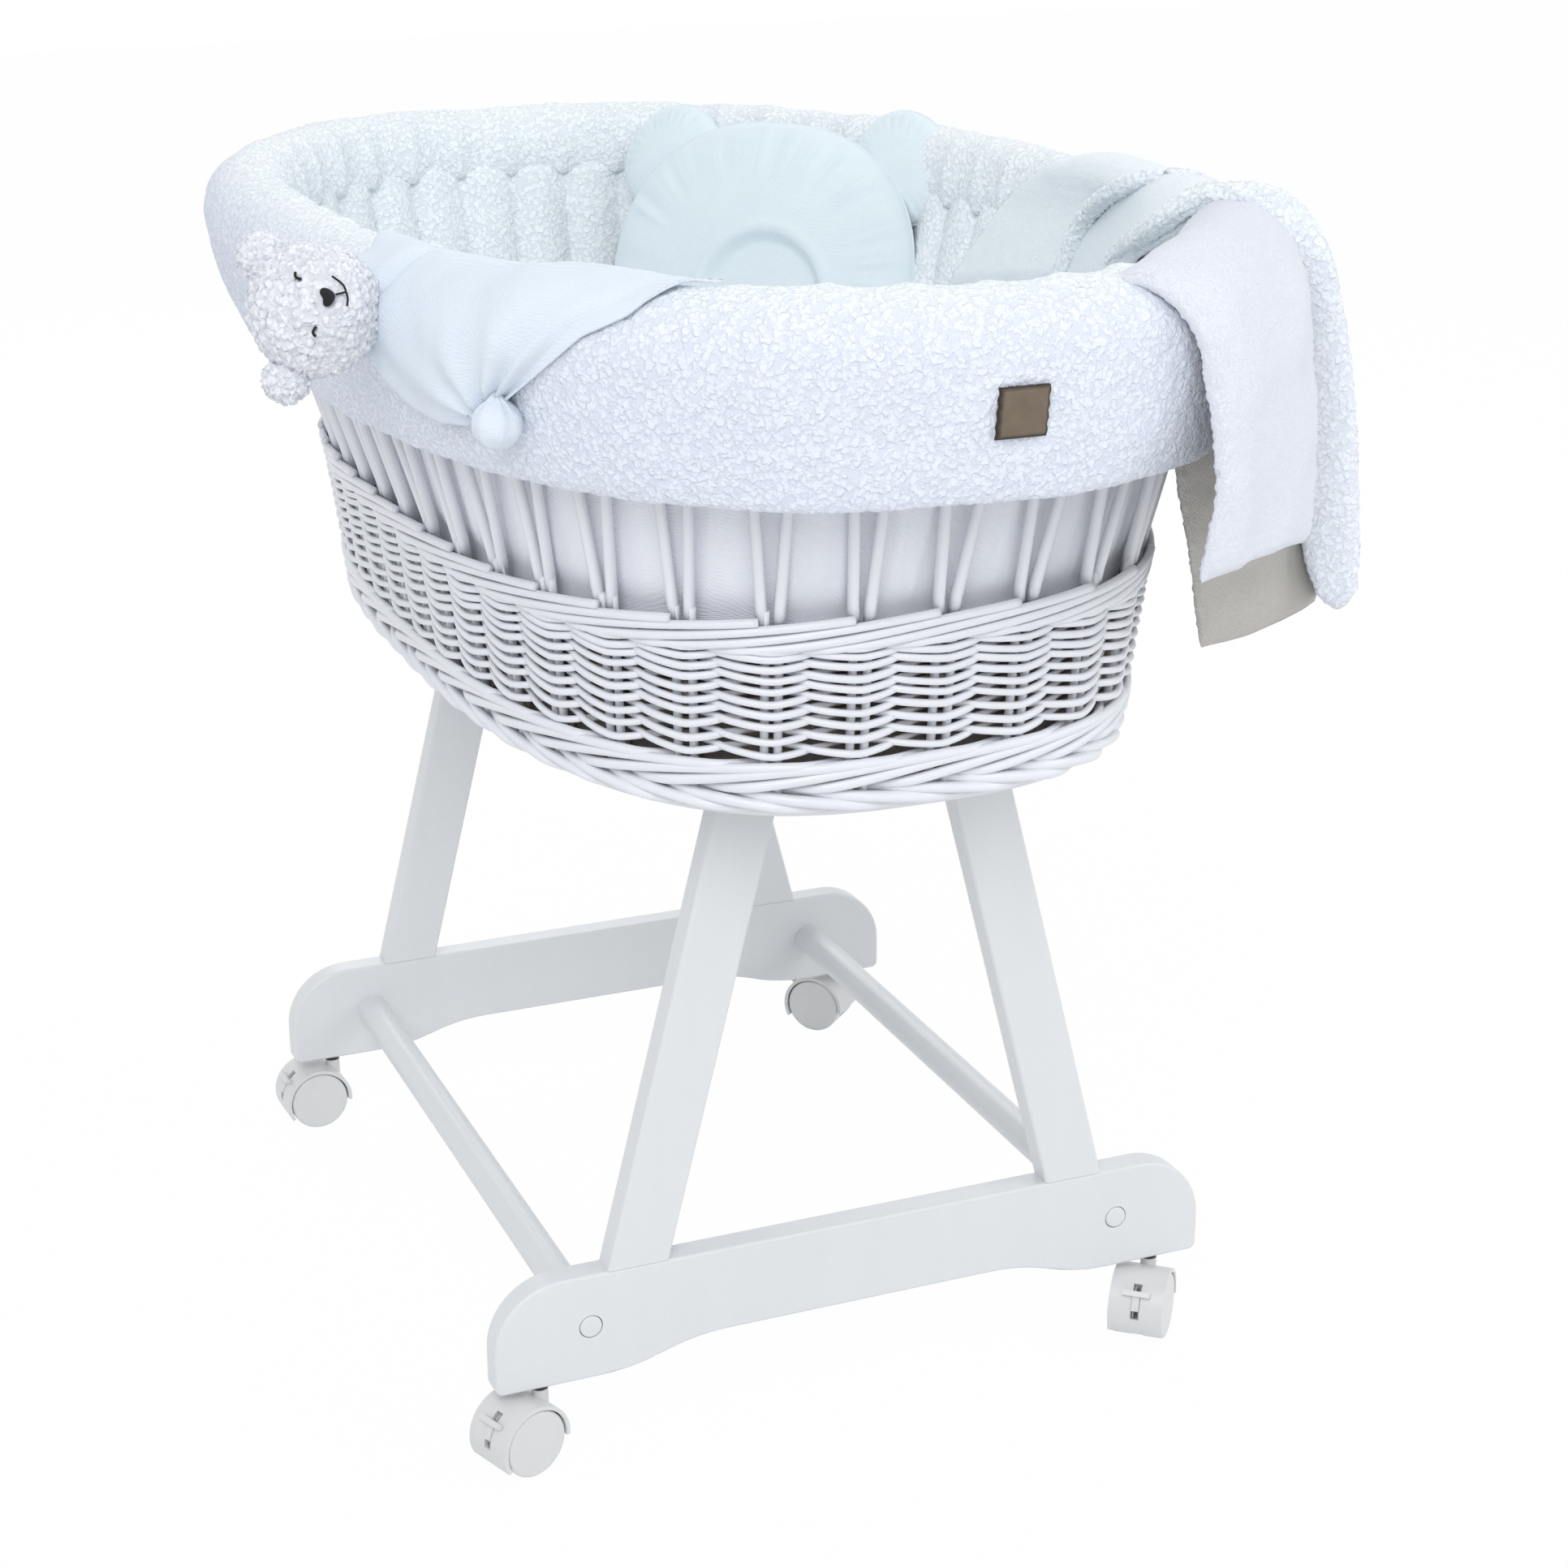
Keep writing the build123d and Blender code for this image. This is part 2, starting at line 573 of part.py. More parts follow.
def build_basket():
    base_ring = FOOT_LINE[:3]
    save(stack([wall_ring(z, -BORDER_IN - SOFT_GAP) for z in (PLATFORM_TOP, FOOT_Z)]), "basket_base")
    border_levels = [(*base_ring, PLATFORM_TOP), (*base_ring, FOOT_Z)]
    outer = [(w + BORDER_OUT, l + BORDER_OUT, p, z) for w, l, p, z in border_levels]
    inner = [(w - BORDER_IN, l - BORDER_IN, p, z) for w, l, p, z in border_levels]
    save(shell(outer, inner), "foot_border")
    wale_z = WAIST_Z - WALE_HEIGHT
    band = (FOOT_Z, wale_z)
    save(wall_shell(band, BAND_HALF, BAND_HALF), "basket_wall")
    wale = (wale_z, WAIST_Z)
    save(wall_shell(wale, WALE_OUT, BAND_HALF), "upper_wale")
    save(make_stakes(), "basket_stakes")
    rim_levels = (RIM_Z - RIM_HALF, RIM_Z + RIM_HALF)
    rim_outer = [(*[v + RIM_HALF for v in RIM_LINE[:2]], RIM_LINE[2], z) for z in rim_levels]
    rim_inner = [(*[v - RIM_HALF for v in RIM_LINE[:2]], RIM_LINE[2], z) for z in rim_levels]
    save(shell(rim_outer, rim_inner), "basket_rim")


# Liner

def channelled(z, offset):
    """Inside outline of the bumper: shallow arcs between its sewn seams."""
    seam_ring = wall_ring(z, -offset + CHANNEL_DEPTH)
    crown_ring = wall_ring(z, -offset)
    seams = [polar_point(seam_ring, a) for a in even_angles(seam_ring, BUMPER_CHANNELS)]
    crowns = [polar_point(crown_ring, a) for a in even_angles(crown_ring, BUMPER_CHANNELS, 0.5)]
    arcs = []
    for i in range(BUMPER_CHANNELS):
        arcs.append(ThreePointArc(seams[i], crowns[i], seams[(i + 1) % BUMPER_CHANNELS]))
    return Wire(arcs)


def build_liner():
    bag_outer = [wall_ring(z, -BAG_OFFSET) for z in (BAG_FLOOR, WAIST_Z, BUMPER_TOP)]
    bag_levels = (BAG_FLOOR + BAG_THICK, WAIST_Z, BUMPER_TOP)
    bag_inner = [wall_ring(z, -BAG_OFFSET - BAG_THICK) for z in bag_levels]
    save(shell(bag_outer, bag_inner), "liner_bag")

    levels = (BAG_FLOOR + BAG_THICK + SOFT_GAP, WAIST_Z, BUMPER_TOP)
    hollow = Solid.make_loft([channelled(z, BUMPER_IN) for z in levels], ruled=True)
    save(stack([wall_ring(z, -BUMPER_OUT) for z in levels]) - hollow, "liner_bumper")

    rim_top = RIM_Z + RIM_HALF + SOFT_GAP
    skirt_steps = [*CUFF_OUTSIDE[:-1], (*CUFF_OUTSIDE[-1][:2], rim_top - RIM_Z)]
    skirt = shell([cuff_ring(s) for s in skirt_steps], [cuff_ring(s, -CUFF_WALL) for s in skirt_steps])
    lip_levels = (BUMPER_TOP + SOFT_GAP, rim_top + JOIN)
    lip_out = [(RIM_LINE[0] - RIM_HALF - SOFT_GAP, RIM_LINE[1] - RIM_HALF - SOFT_GAP, CUFF_POWER, z)
               for z in lip_levels]
    lip_in = [(RIM_LINE[0] - BUMPER_IN, RIM_LINE[1] - BUMPER_IN, CUFF_POWER, z) for z in lip_levels]
    lip = shell(lip_out, lip_in)
    crown_steps = [(*CUFF_CROWN[0][:2], rim_top - RIM_Z), *CUFF_CROWN[1:]]
    crown_outer = [cuff_ring(s) for s in crown_steps]
    crown_inner = []
    for inset, ring in zip((BUMPER_IN, BUMPER_IN - CUFF_LIP_IN / 2, CUFF_LIP_IN), crown_outer):
        crown_inner.append((RIM_LINE[0] - inset, RIM_LINE[1] - inset, CUFF_POWER, ring[3]))
    save(skirt + lip + shell(crown_outer, crown_inner), "liner_cuff")

    patch_z = RIM_Z - PATCH_BELOW_RIM
    window = box_between(
        (PATCH_X - PATCH_WIDTH / 2, -PLAN_REACH, patch_z - PATCH_HEIGHT / 2),
        (PATCH_X + PATCH_WIDTH / 2, 0, patch_z + PATCH_HEIGHT / 2),
    )
    patch = (cuff_outline(SOFT_GAP + PATCH_THICK) - cuff_outline(SOFT_GAP)) & window
    save(patch, "leather_patch")


def make_mattress():
    ring = wall_ring(MATTRESS_BOTTOM, -BUMPER_IN - MATTRESS_SIDE_GAP)
    steps = (
        (-MATTRESS_EDGE, 0.0),
        (0.0, MATTRESS_EDGE),
        (0.0, MATTRESS_THICK - MATTRESS_EDGE),
        (-MATTRESS_EDGE, MATTRESS_THICK - MATTRESS_CROWN),
        (-4 * MATTRESS_EDGE, MATTRESS_THICK),
    )
    return stack([(ring[0] + d, ring[1] + d, ring[2], MATTRESS_BOTTOM + h) for d, h in steps])


# Pillow

def pad(half_w, half_h, power, thick, edge, grow=0.0):
    """Crowned pad, flat on XY, drawn in towards its front and back."""
    steps = ((-edge, -0.5), (-edge / 3, -0.36), (0.0, 0.0), (-edge / 3, 0.36), (-edge, 0.5))
    rings = []
    for inset, level in steps:
        rings.append((half_w + inset + grow, half_h + inset + grow, power, level * (thick + 2 * grow)))
    return stack(rings)


def build_pillow():
    middle_z = MATTRESS_TOP + SOFT_GAP + PILLOW_HALF_H * cos(radians(PILLOW_LEAN)) + PILLOW_THICK / 5
    wall = wall_ring(middle_z, -BUMPER_IN)
    angle = radians(PILLOW_ANGLE)
    spot = polar_point(wall, angle) - Vector(cos(angle), sin(angle), 0) * PILLOW_STANDOFF
    # The pad lies on XY with its top along +Y; stand it up, lean it back and turn it to face the foot end
    place = Pos(*spot) * Rot(Z=PILLOW_FACING + 90) * Rot(X=90 - PILLOW_LEAN)
    body = pad(PILLOW_HALF_W, PILLOW_HALF_H, PILLOW_POWER, PILLOW_THICK, PILLOW_EDGE)
    dish_r = (PILLOW_DISH_R ** 2 + PILLOW_DISH_DEPTH ** 2) / (2 * PILLOW_DISH_DEPTH)
    dish = Pos(0, -PILLOW_DISH_DROP, PILLOW_THICK / 2 - PILLOW_DISH_DEPTH + dish_r) * Sphere(dish_r)
    levels = (MATTRESS_TOP, WAIST_Z, RIM_Z, RIM_Z + PILLOW_HALF_H)
    inside = inside_room(levels, SOFT_GAP)
    save((place * (body - dish)) & inside, "pillow")
    room = pad(PILLOW_HALF_W, PILLOW_HALF_H, PILLOW_POWER, PILLOW_THICK, PILLOW_EDGE, SOFT_GAP)
    ears = []
    for side in (-1, 1):
        ear = Pos(side * EAR_X, EAR_Y, -EAR_BACK) * pad(EAR_R, EAR_R, 2.0, EAR_THICK, EAR_R / 2)
        ears.append((place * (ear - room)) & inside)
    save(group(ears), "pillow_ears")


# Blanket

def make_blanket():
    """Folds over the rim: each hangs outside to its hem, crosses the roll and drops inside."""
    top = RIM_Z + CUFF_CROWN[-1][2] + SOFT_GAP
    bulge = max(CUFF_OUTSIDE)
    low = RIM_Z - max(fold[3] for fold in BLANKET_FOLDS)
    core_low = RIM_Z - max(fold[4] for fold in BLANKET_FOLDS)
    tail_from, tail_to, tail_thick, tail_drop, tail_top = BLANKET_TAIL
    tail_levels = (core_low - 1, BUMPER_TOP, RIM_Z + tail_top + 1)
    tail = inside_room(tail_levels, SOFT_GAP) - inside_room(tail_levels, SOFT_GAP + tail_thick)
    body = tail & wedge(tail_from, tail_to, RIM_Z - tail_drop, RIM_Z + tail_top)
    for angle_from, angle_to, thick, drop, inside_drop in BLANKET_FOLDS:
        outside = [cuff_ring(bulge, SOFT_GAP + thick, z) for z in (low, RIM_Z)]
        crown = [cuff_ring(s, SOFT_GAP + thick, RIM_Z + s[2] + thick) for s in CUFF_CROWN]
        roof = stack([*outside, *crown])
        room = [cuff_ring(bulge, SOFT_GAP, z) for z in (low - 1, RIM_Z)]
        room += [cuff_ring(s, SOFT_GAP, RIM_Z + s[2] + SOFT_GAP) for s in CUFF_CROWN]
        inside_levels = (core_low - 1, BUMPER_TOP, top + thick + 1)
        inside = inside_room(inside_levels, SOFT_GAP)
        hollow = inside_room(inside_levels, SOFT_GAP + thick)
        outer_fall = (roof - stack(room)) & wedge(angle_from, angle_to, RIM_Z - drop, top + 2 * thick)
        lining_top = RIM_Z + CUFF_CROWN[-1][2] + thick
        inner_fall = (inside - hollow) & wedge(angle_from, angle_to, RIM_Z - inside_drop, lining_top)
        body += (outer_fall - hollow) + inner_fall
    return body


# Comforter toy

def build_toy():
    outer = cuff_ring(max(CUFF_OUTSIDE), 0, RIM_Z - TOY_HEAD_BELOW_RIM)
    angle = radians(TOY_ANGLE)
    away = Vector(cos(angle), sin(angle), 0)
    spot = polar_point(outer, angle) + away * (TOY_HEAD_R + TOY_HEAD_STANDOFF)
    head = Pos(*spot) * Sphere(TOY_HEAD_R)
    cloth = make_toy_cloth()
    room = cuff_outline(TOY_BALL_GAP)
    head -= room
    save(head, "toy_head")
    ears = []
    for direction in (TOY_EAR_UP, TOY_EAR_DOWN):
        at = spot + Vector(*direction).normalized() * TOY_EAR_REACH
        ears.append(Pos(*at) * Sphere(TOY_EAR_R) - Pos(*spot) * Sphere(TOY_HEAD_R + TOY_BALL_GAP) - room)
    save(group(ears), "toy_ears")
    knot_angle = radians(TOY_KNOT_ANGLE)
    knot_ring = cuff_ring(CUFF_OUTSIDE[1], TOY_KNOT_R + SOFT_GAP, RIM_Z - TOY_KNOT_BELOW_RIM)
    knot_spot = polar_point(knot_ring, knot_angle)
    knot = Pos(*knot_spot) * Sphere(TOY_KNOT_R) - room
    save(knot, "toy_knot")
    cloth -= Pos(*spot) * Sphere(TOY_HEAD_R + TOY_BALL_GAP)
    cloth -= Pos(*knot_spot) * Sphere(TOY_KNOT_R + TOY_BALL_GAP)
    save(cloth, "toy_cloth")


def make_toy_cloth():
    """Cloth lying on the outer half of the roll, in folds, its lower edge rising away from the head."""
    top = RIM_Z + CUFF_CROWN[-1][2]
    count = len(TOY_CLOTH_FOLDS)
    low = RIM_Z - TOY_CLOTH_DROP
    inner_cut = stack([cuff_ring(CUFF_CROWN[-1], -CUFF_LIP_IN, z) for z in (low, top + CUFF_WALL)])
    body = None
    for i, (angle_from, angle_to, thick) in enumerate(TOY_CLOTH_FOLDS):
        edge = low + TOY_CLOTH_RISE * max(0, i - 1) / count
        fold = cuff_outline(SOFT_GAP + thick) - cuff_outline(SOFT_GAP)
        fold = (fold - inner_cut) & wedge(angle_from, angle_to, edge, top + CUFF_WALL)
        body = fold if body is None else body + fold
    return body


os.makedirs("parts", exist_ok=True)
build_stand()
build_casters()
build_basket()
build_liner()
save(make_mattress(), "mattress")
build_pillow()
save(make_blanket(), "blanket")
build_toy()
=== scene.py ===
import json
from math import cos, pi, radians, sin

import bpy
import numpy as np
from mathutils import Matrix, Vector, noise


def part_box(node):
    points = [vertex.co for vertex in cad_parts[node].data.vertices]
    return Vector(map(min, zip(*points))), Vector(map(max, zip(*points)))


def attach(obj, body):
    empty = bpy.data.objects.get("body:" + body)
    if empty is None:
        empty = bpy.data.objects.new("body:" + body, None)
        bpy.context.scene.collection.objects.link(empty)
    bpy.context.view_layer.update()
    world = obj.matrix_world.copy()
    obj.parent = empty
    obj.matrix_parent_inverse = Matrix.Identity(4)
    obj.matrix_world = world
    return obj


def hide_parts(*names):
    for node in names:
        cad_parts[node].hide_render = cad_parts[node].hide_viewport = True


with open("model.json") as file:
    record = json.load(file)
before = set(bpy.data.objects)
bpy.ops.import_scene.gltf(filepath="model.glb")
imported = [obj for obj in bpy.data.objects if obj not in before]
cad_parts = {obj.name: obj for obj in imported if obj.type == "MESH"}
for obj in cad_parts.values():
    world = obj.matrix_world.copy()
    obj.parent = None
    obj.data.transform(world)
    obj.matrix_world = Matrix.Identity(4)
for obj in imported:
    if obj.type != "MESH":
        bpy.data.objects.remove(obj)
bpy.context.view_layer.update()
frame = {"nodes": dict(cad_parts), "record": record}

# Lengths below are millimetres in the part's frame; meshes are written in metres.
MM = 0.001
TAU = 2 * pi
SEED = 7

# Basket wall: heights, and the half width, half length and roundness of its middle line at each
WALL_Z = (443.0, 546.5, 704.0)
WALL_W = (197.0, 211.0, 260.0)
WALL_L = (361.0, 372.0, 420.0)
WALL_N = (2.8, 2.8, 2.4)
FOOT_Z, WAIST_Z, RIM_Z = WALL_Z
PLATFORM_Z = 423.0
PAIRS = 40

rng = np.random.default_rng(SEED)
noise.seed_set(SEED)


# Numbers and rings

def smooth(x, low, high):
    """Soft step from 0 at low to 1 at high."""
    t = np.clip((np.asarray(x, float) - low) / (high - low), 0, 1)
    return t * t * (3 - 2 * t)


def ridge(x, at, wide):
    """Rounded ridge of height 1 at a place."""
    return np.exp(-((x - at) / wide) ** 2)


def signed_power(v, power):
    return np.sign(v) * np.abs(v) ** power


def unit(v):
    return v / np.maximum(np.linalg.norm(v, axis=-1, keepdims=True), 1e-12)


def turns(count):
    """Even angles of one whole turn."""
    return np.linspace(0, TAU, count, endpoint=False)


def wall_line(z):
    return [np.interp(z, WALL_Z, sizes) for sizes in (WALL_W, WALL_L, WALL_N)]


def polar(width, length, power, angle):
    """Point of a rounded oval at an angle from its centre."""
    c, s = np.cos(angle), np.sin(angle)
    reach = ((np.abs(c) / width) ** power + (np.abs(s) / length) ** power) ** (-1 / power)
    return reach * c, reach * s


def at_height(x, y, z):
    return np.stack([x, y, np.broadcast_to(z, np.shape(x))], -1)


def length_along(points):
    """Length of a line up to each of its points."""
    return np.concatenate([[0], np.cumsum(np.linalg.norm(np.diff(points, axis=0), axis=1))])


def even_angles(z, share):
    """Polar angles at shares of the wall ring's length at one height."""
    turn = np.linspace(0, TAU, 1441)
    run = length_along(np.stack(polar(*wall_line(z), turn), 1))
    return np.interp(np.asarray(share, float) % 1.0, run / run[-1], turn)


def on_wall(angle, z, out):
    """Point at a distance out from the middle of the wall."""
    width, length, power = wall_line(z)
    return at_height(*polar(width + out, length + out, power, angle), z)


def ring_normal(angle, z):
    """Level outward direction of the wall."""
    width, length, power = wall_line(z)
    x, y = polar(width, length, power, angle)
    return unit(at_height(signed_power(x, power - 1) / width ** power,
                          signed_power(y, power - 1) / length ** power, 0.0))


def cuff_point(angle, side, end, z):
    """Point on a ring of the cuff, beyond the rim by side and end."""
    return at_height(*polar(WALL_W[2] + side, WALL_L[2] + end, WALL_N[2], angle), z)


def resample(keys, spacing, rounds):
    """Round off a line of points and space points evenly along it."""
    p = np.asarray(keys, float)
    for _ in range(rounds):
        cut = np.stack([0.75 * p[:-1] + 0.25 * p[1:], 0.25 * p[:-1] + 0.75 * p[1:]], 1)
        p = np.concatenate([p[:1], cut.reshape(-1, p.shape[1]), p[-1:]])
    run = length_along(p)
    at = np.linspace(0, run[-1], max(3, int(round(run[-1] / spacing)) + 1))
    return np.stack([np.interp(at, run, p[:, k]) for k in range(p.shape[1])], 1)


def wobble(points, scale, offset=0.0):
    """Smooth noise between about -1 and 1 at points, over lengths of scale."""
    shift = Vector((offset, 2.3 * offset, -1.7 * offset))
    values = [noise.noise(Vector(p) / scale + shift) for p in points.reshape(-1, 3)]
    return np.array(values).reshape(points.shape[:-1])


def ring_noise(turn, reach, level):
    """Smooth noise that closes on itself round a turn."""
    return np.array([noise.noise(Vector((cos(t) * reach, sin(t) * reach, level))) for t in turn])


def curls(points, size):
    """Pebbly pile: near 1 on the crown of a curl and 0 in the creases between curls."""
    values = []
    for p in points.reshape(-1, 3) / size:
        v = Vector(p)
        v = v + 0.35 * noise.noise_vector(v * 0.9)
        near = noise.voronoi(v)[0]
        values.append(0.55 * (1 - min(near[0], 1.0)) + 0.45 * min((near[1] - near[0]) * 2.2, 1.0))
    return np.array(values).reshape(points.shape[:-1])


# Meshes

def grid_quads(rows, cols, wrap_rows=False, wrap_cols=False):
    i = np.arange(rows if wrap_rows else rows - 1)[:, None]
    j = np.arange(cols if wrap_cols else cols - 1)[None, :]
    below, beside = (i + 1) % rows, (j + 1) % cols
    corners = (i * cols + j, i * cols + beside, below * cols + beside, below * cols + j)
    return np.stack([c.ravel() for c in corners], 1)


def tube_faces(rows, cols, flip=False, first=True, last=True):
    """Faces of a tube of rings, with a face over its first and last ring."""
    faces = grid_quads(rows, cols, wrap_cols=True).tolist()
    if first:
        faces.append(list(range(cols))[::-1])
    if last:
        faces.append(list(range((rows - 1) * cols, rows * cols)))
    return [face[::-1] for face in faces] if flip else faces


def grid_normals(p, wrap_rows=False, wrap_cols=False):
    def slope(axis, wrap):
        if wrap:
            return np.roll(p, -1, axis) - np.roll(p, 1, axis)
        return np.gradient(p, axis=axis)
    return unit(np.cross(slope(1, wrap_cols), slope(0, wrap_rows)))


def grid_area(p):
    return np.linalg.norm(np.cross(np.diff(p, axis=0)[:, :-1], np.diff(p, axis=1)[:-1]), axis=-1).sum()


def ball_directions(rows, cols, pole):
    """Directions from the centre of a ball, with their turns and angles from the top."""
    turn, fall = turns(cols), np.linspace(pole, pi - pole, rows)[:, None]
    level = np.sin(fall)
    d = np.stack([level * np.cos(turn), level * np.sin(turn), np.cos(fall) * np.ones(cols)], -1)
    return d, turn, fall


def link(name, data):
    """New object in the scene."""
    obj = bpy.data.objects.new(name, data)
    bpy.context.scene.collection.objects.link(obj)
    return obj


class Mesh:
    """Points, faces, a value per point and a material per face, gathered for one piece."""

    def __init__(self):
        self.points, self.faces, self.values, self.mats = [], [], [], []
        self.count = 0

    def add(self, points, faces, value=0.0, mat=0):
        points = np.asarray(points, float).reshape(-1, 3)
        self.points.append(points)
        self.values.append(np.broadcast_to(np.asarray(value, float).ravel(), (len(points),)))
        for face in (faces.tolist() if isinstance(faces, np.ndarray) else faces):
            self.faces.append([k + self.count for k in face])
        self.mats.extend(np.broadcast_to(np.asarray(mat, int).ravel(), (len(faces),)).tolist())
        self.count += len(points)

    def piece(self, name, materials, body, slot, replaces=()):
        mesh = bpy.data.meshes.new(name)
        mesh.from_pydata((np.concatenate(self.points) * MM).tolist(), [], self.faces)
        mark = mesh.attributes.new("shade", "FLOAT", "POINT")
        mark.data.foreach_set("value", np.concatenate(self.values).astype(np.float32))
        for entry in materials:
            mesh.materials.append(entry)
        mesh.polygons.foreach_set("material_index", np.array(self.mats, np.int32))
        mesh.polygons.foreach_set("use_smooth", np.ones(len(self.faces), bool))
        mesh.validate()
        mesh.update()
        obj = link(name, mesh)
        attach(obj, body)
        if replaces:
            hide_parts(*replaces)
        return obj


def add_rod(mesh, path, radius, reference, sides, value=0.0, closed=False):
    """Round rod along a path; value may be a function of how far each point stands towards the reference."""
    path = np.asarray(path, float)
    along = unit(np.roll(path, -1, 0) - np.roll(path, 1, 0) if closed else np.gradient(path, axis=0))
    ref = np.broadcast_to(reference, path.shape)
    out = unit(ref - (ref * along).sum(-1, keepdims=True) * along)
    side = np.cross(along, out)
    turn = turns(sides)
    radius = np.broadcast_to(radius, (len(path),))[:, None]
    around = np.cos(turn)[None, :, None] * out[:, None] + np.sin(turn)[None, :, None] * side[:, None]
    if closed:
        faces = grid_quads(len(path), sides, True, True)[:, ::-1]
    else:
        faces = tube_faces(len(path), sides, flip=True)
    if callable(value):
        value = value(np.cos(turn) * radius)
    mesh.add(path[:, None] + radius[..., None] * around, faces, value)


def add_two_sided(mesh, front, back, front_value=0.0, back_value=0.0):
    """Thin form from two grids of points, closed along its rim."""
    rows, cols = front.shape[:2]
    size = rows * cols
    quads = grid_quads(rows, cols)
    rim = list(range(cols)) + [cols * k + cols - 1 for k in range(1, rows)]
    rim += [size - 2 - k for k in range(cols - 1)] + [cols * k for k in range(rows - 2, 0, -1)]
    sides = [[a, a + size, b + size, b] for a, b in zip(rim, rim[1:] + rim[:1])]
    values = [np.broadcast_to(value, (rows, cols)) for value in (front_value, back_value)]
    faces = quads.tolist() + (quads[:, ::-1] + size).tolist() + sides
    mesh.add(np.array([front, back]), faces, np.array(values))


# Materials

class Net:
    """Short calls for adding and joining nodes."""

    def __init__(self, tree):
        self.tree = tree

    def set(self, socket, value):
        if isinstance(value, bpy.types.NodeSocket):
            self.tree.links.new(value, socket)
        elif value is not None:
            socket.default_value = value

    def node(self, kind, inputs=None, **settings):
        node = self.tree.nodes.new(kind)
        for key, value in settings.items():
            setattr(node, key, value)
        for key, value in (inputs or {}).items():
            self.set(node.inputs[key], value)
        return node

    def math(self, operation, a, b=None, c=None):
        return self.node("ShaderNodeMath", {0: a, 1: b, 2: c}, operation=operation).outputs[0]

    def noise(self, vector, scale, detail=2.0, roughness=0.5, stretch=None):
        if stretch is not None:
            vector = self.node("ShaderNodeMapping", {"Vector": vector, "Scale": stretch}).outputs[0]
        inputs = {"Vector": vector, "Scale": scale, "Detail": detail, "Roughness": roughness}
        return self.node("ShaderNodeTexNoise", inputs).outputs["Fac"]

    def ramp(self, value, low, high, out_low=0.0, out_high=1.0):
        inputs = {"Value": value, "From Min": low, "From Max": high, "To Min": out_low, "To Max": out_high}
        return self.node("ShaderNodeMapRange", inputs, interpolation_type="SMOOTHSTEP").outputs["Result"]

    def mix(self, factor, a, b):
        return self.node("ShaderNodeMix", {0: factor, 6: a, 7: b}, data_type="RGBA").outputs[2]

    def shade(self):
        return self.node("ShaderNodeAttribute", attribute_name="shade").outputs["Fac"]

    def group(self, tree, **values):
        inputs = {key.replace("_", " "): value for key, value in values.items()}
        return self.node("ShaderNodeGroup", inputs, node_tree=tree).outputs


def group(name, build, *values):
    """Shader node group: a place and named values in, a height and a tone out."""
    tree = bpy.data.node_groups.new(name, "ShaderNodeTree")
    sockets = [("Vector", "INPUT", "Vector")] + [(value, "INPUT", "Float") for value in values]
    sockets += [("Height", "OUTPUT", "Float"), ("Tone", "OUTPUT", "Float")]
    for label, way, kind in sockets:
        tree.interface.new_socket(label, in_out=way, socket_type="NodeSocket" + kind)
    start, end = tree.nodes.new("NodeGroupInput"), tree.nodes.new("NodeGroupOutput")
    build(Net(tree), start.outputs, end.inputs)
    return tree


def build_thread(net, start, end):
    """Fine over and under threads, with slubs."""
    parts = net.node("ShaderNodeSeparateXYZ", {0: start["Vector"]}).outputs
    across = net.math("ADD", parts[0], parts[1])
    warp = net.math("SINE", net.math("MULTIPLY", across, start["Threads"]))
    weft = net.math("SINE", net.math("MULTIPLY", parts[2], start["Threads"]))
    cross = net.math("MULTIPLY", warp, weft)
    slub = net.noise(start["Vector"], 60.0, 3.0)
    cloud = net.noise(start["Vector"], 9.0)
    net.set(end["Height"], net.math("MULTIPLY_ADD", cross, 0.5, slub))
    net.set(end["Tone"], net.math("MULTIPLY", net.math("ADD", slub, cloud), 0.5))


def build_pile(net, start, end):
    """Curly pile: round curls with soft creases between them, fine hairs and soft patches."""
    place, scale = start["Vector"], start["Curl scale"]
    drift = net.node("ShaderNodeTexNoise", {"Vector": place, "Scale": scale}).outputs["Color"]
    inputs = {0: drift, 1: (0.006, 0.006, 0.006), 2: place}
    bend = net.node("ShaderNodeVectorMath", inputs, operation="MULTIPLY_ADD").outputs[0]
    cells = net.node("ShaderNodeTexVoronoi", {"Vector": bend, "Scale": scale}, feature="F1")
    hairs = net.noise(place, net.math("MULTIPLY", scale, 3.1), 3.0, 0.65)
    patch = net.noise(place, 7.0)
    curl = net.ramp(cells.outputs["Distance"], 0.85, 0.25)
    net.set(end["Height"], net.math("MULTIPLY_ADD", hairs, 0.25, curl))
    # Tone is low in the creases, which the pile materials paint darker as painted shade, and varies with
    # real soft patches.
    net.set(end["Tone"], net.math("MULTIPLY_ADD", curl, 0.7, net.math("MULTIPLY", patch, 0.3)))


def build_brushwork(net, start, end):
    """Brushed paint: faint long streaks, orange peel and cloudy thickness."""
    streak = net.noise(start["Vector"], 18.0, 4.0, 0.6, stretch=(3.0, 3.0, 0.35))
    peel = net.noise(start["Vector"], 420.0)
    cloud = net.noise(start["Vector"], 6.0, 3.0)
    net.set(end["Height"], net.math("MULTIPLY_ADD", streak, 0.7, net.math("MULTIPLY", peel, 0.3)))
    net.set(end["Tone"], net.math("MULTIPLY_ADD", cloud, 0.6, net.math("MULTIPLY", streak, 0.4)))


THREAD = group("Thread", build_thread, "Threads")
PILE = group("Pile", build_pile, "Curl scale")
BRUSHWORK = group("Brushwork", build_brushwork)


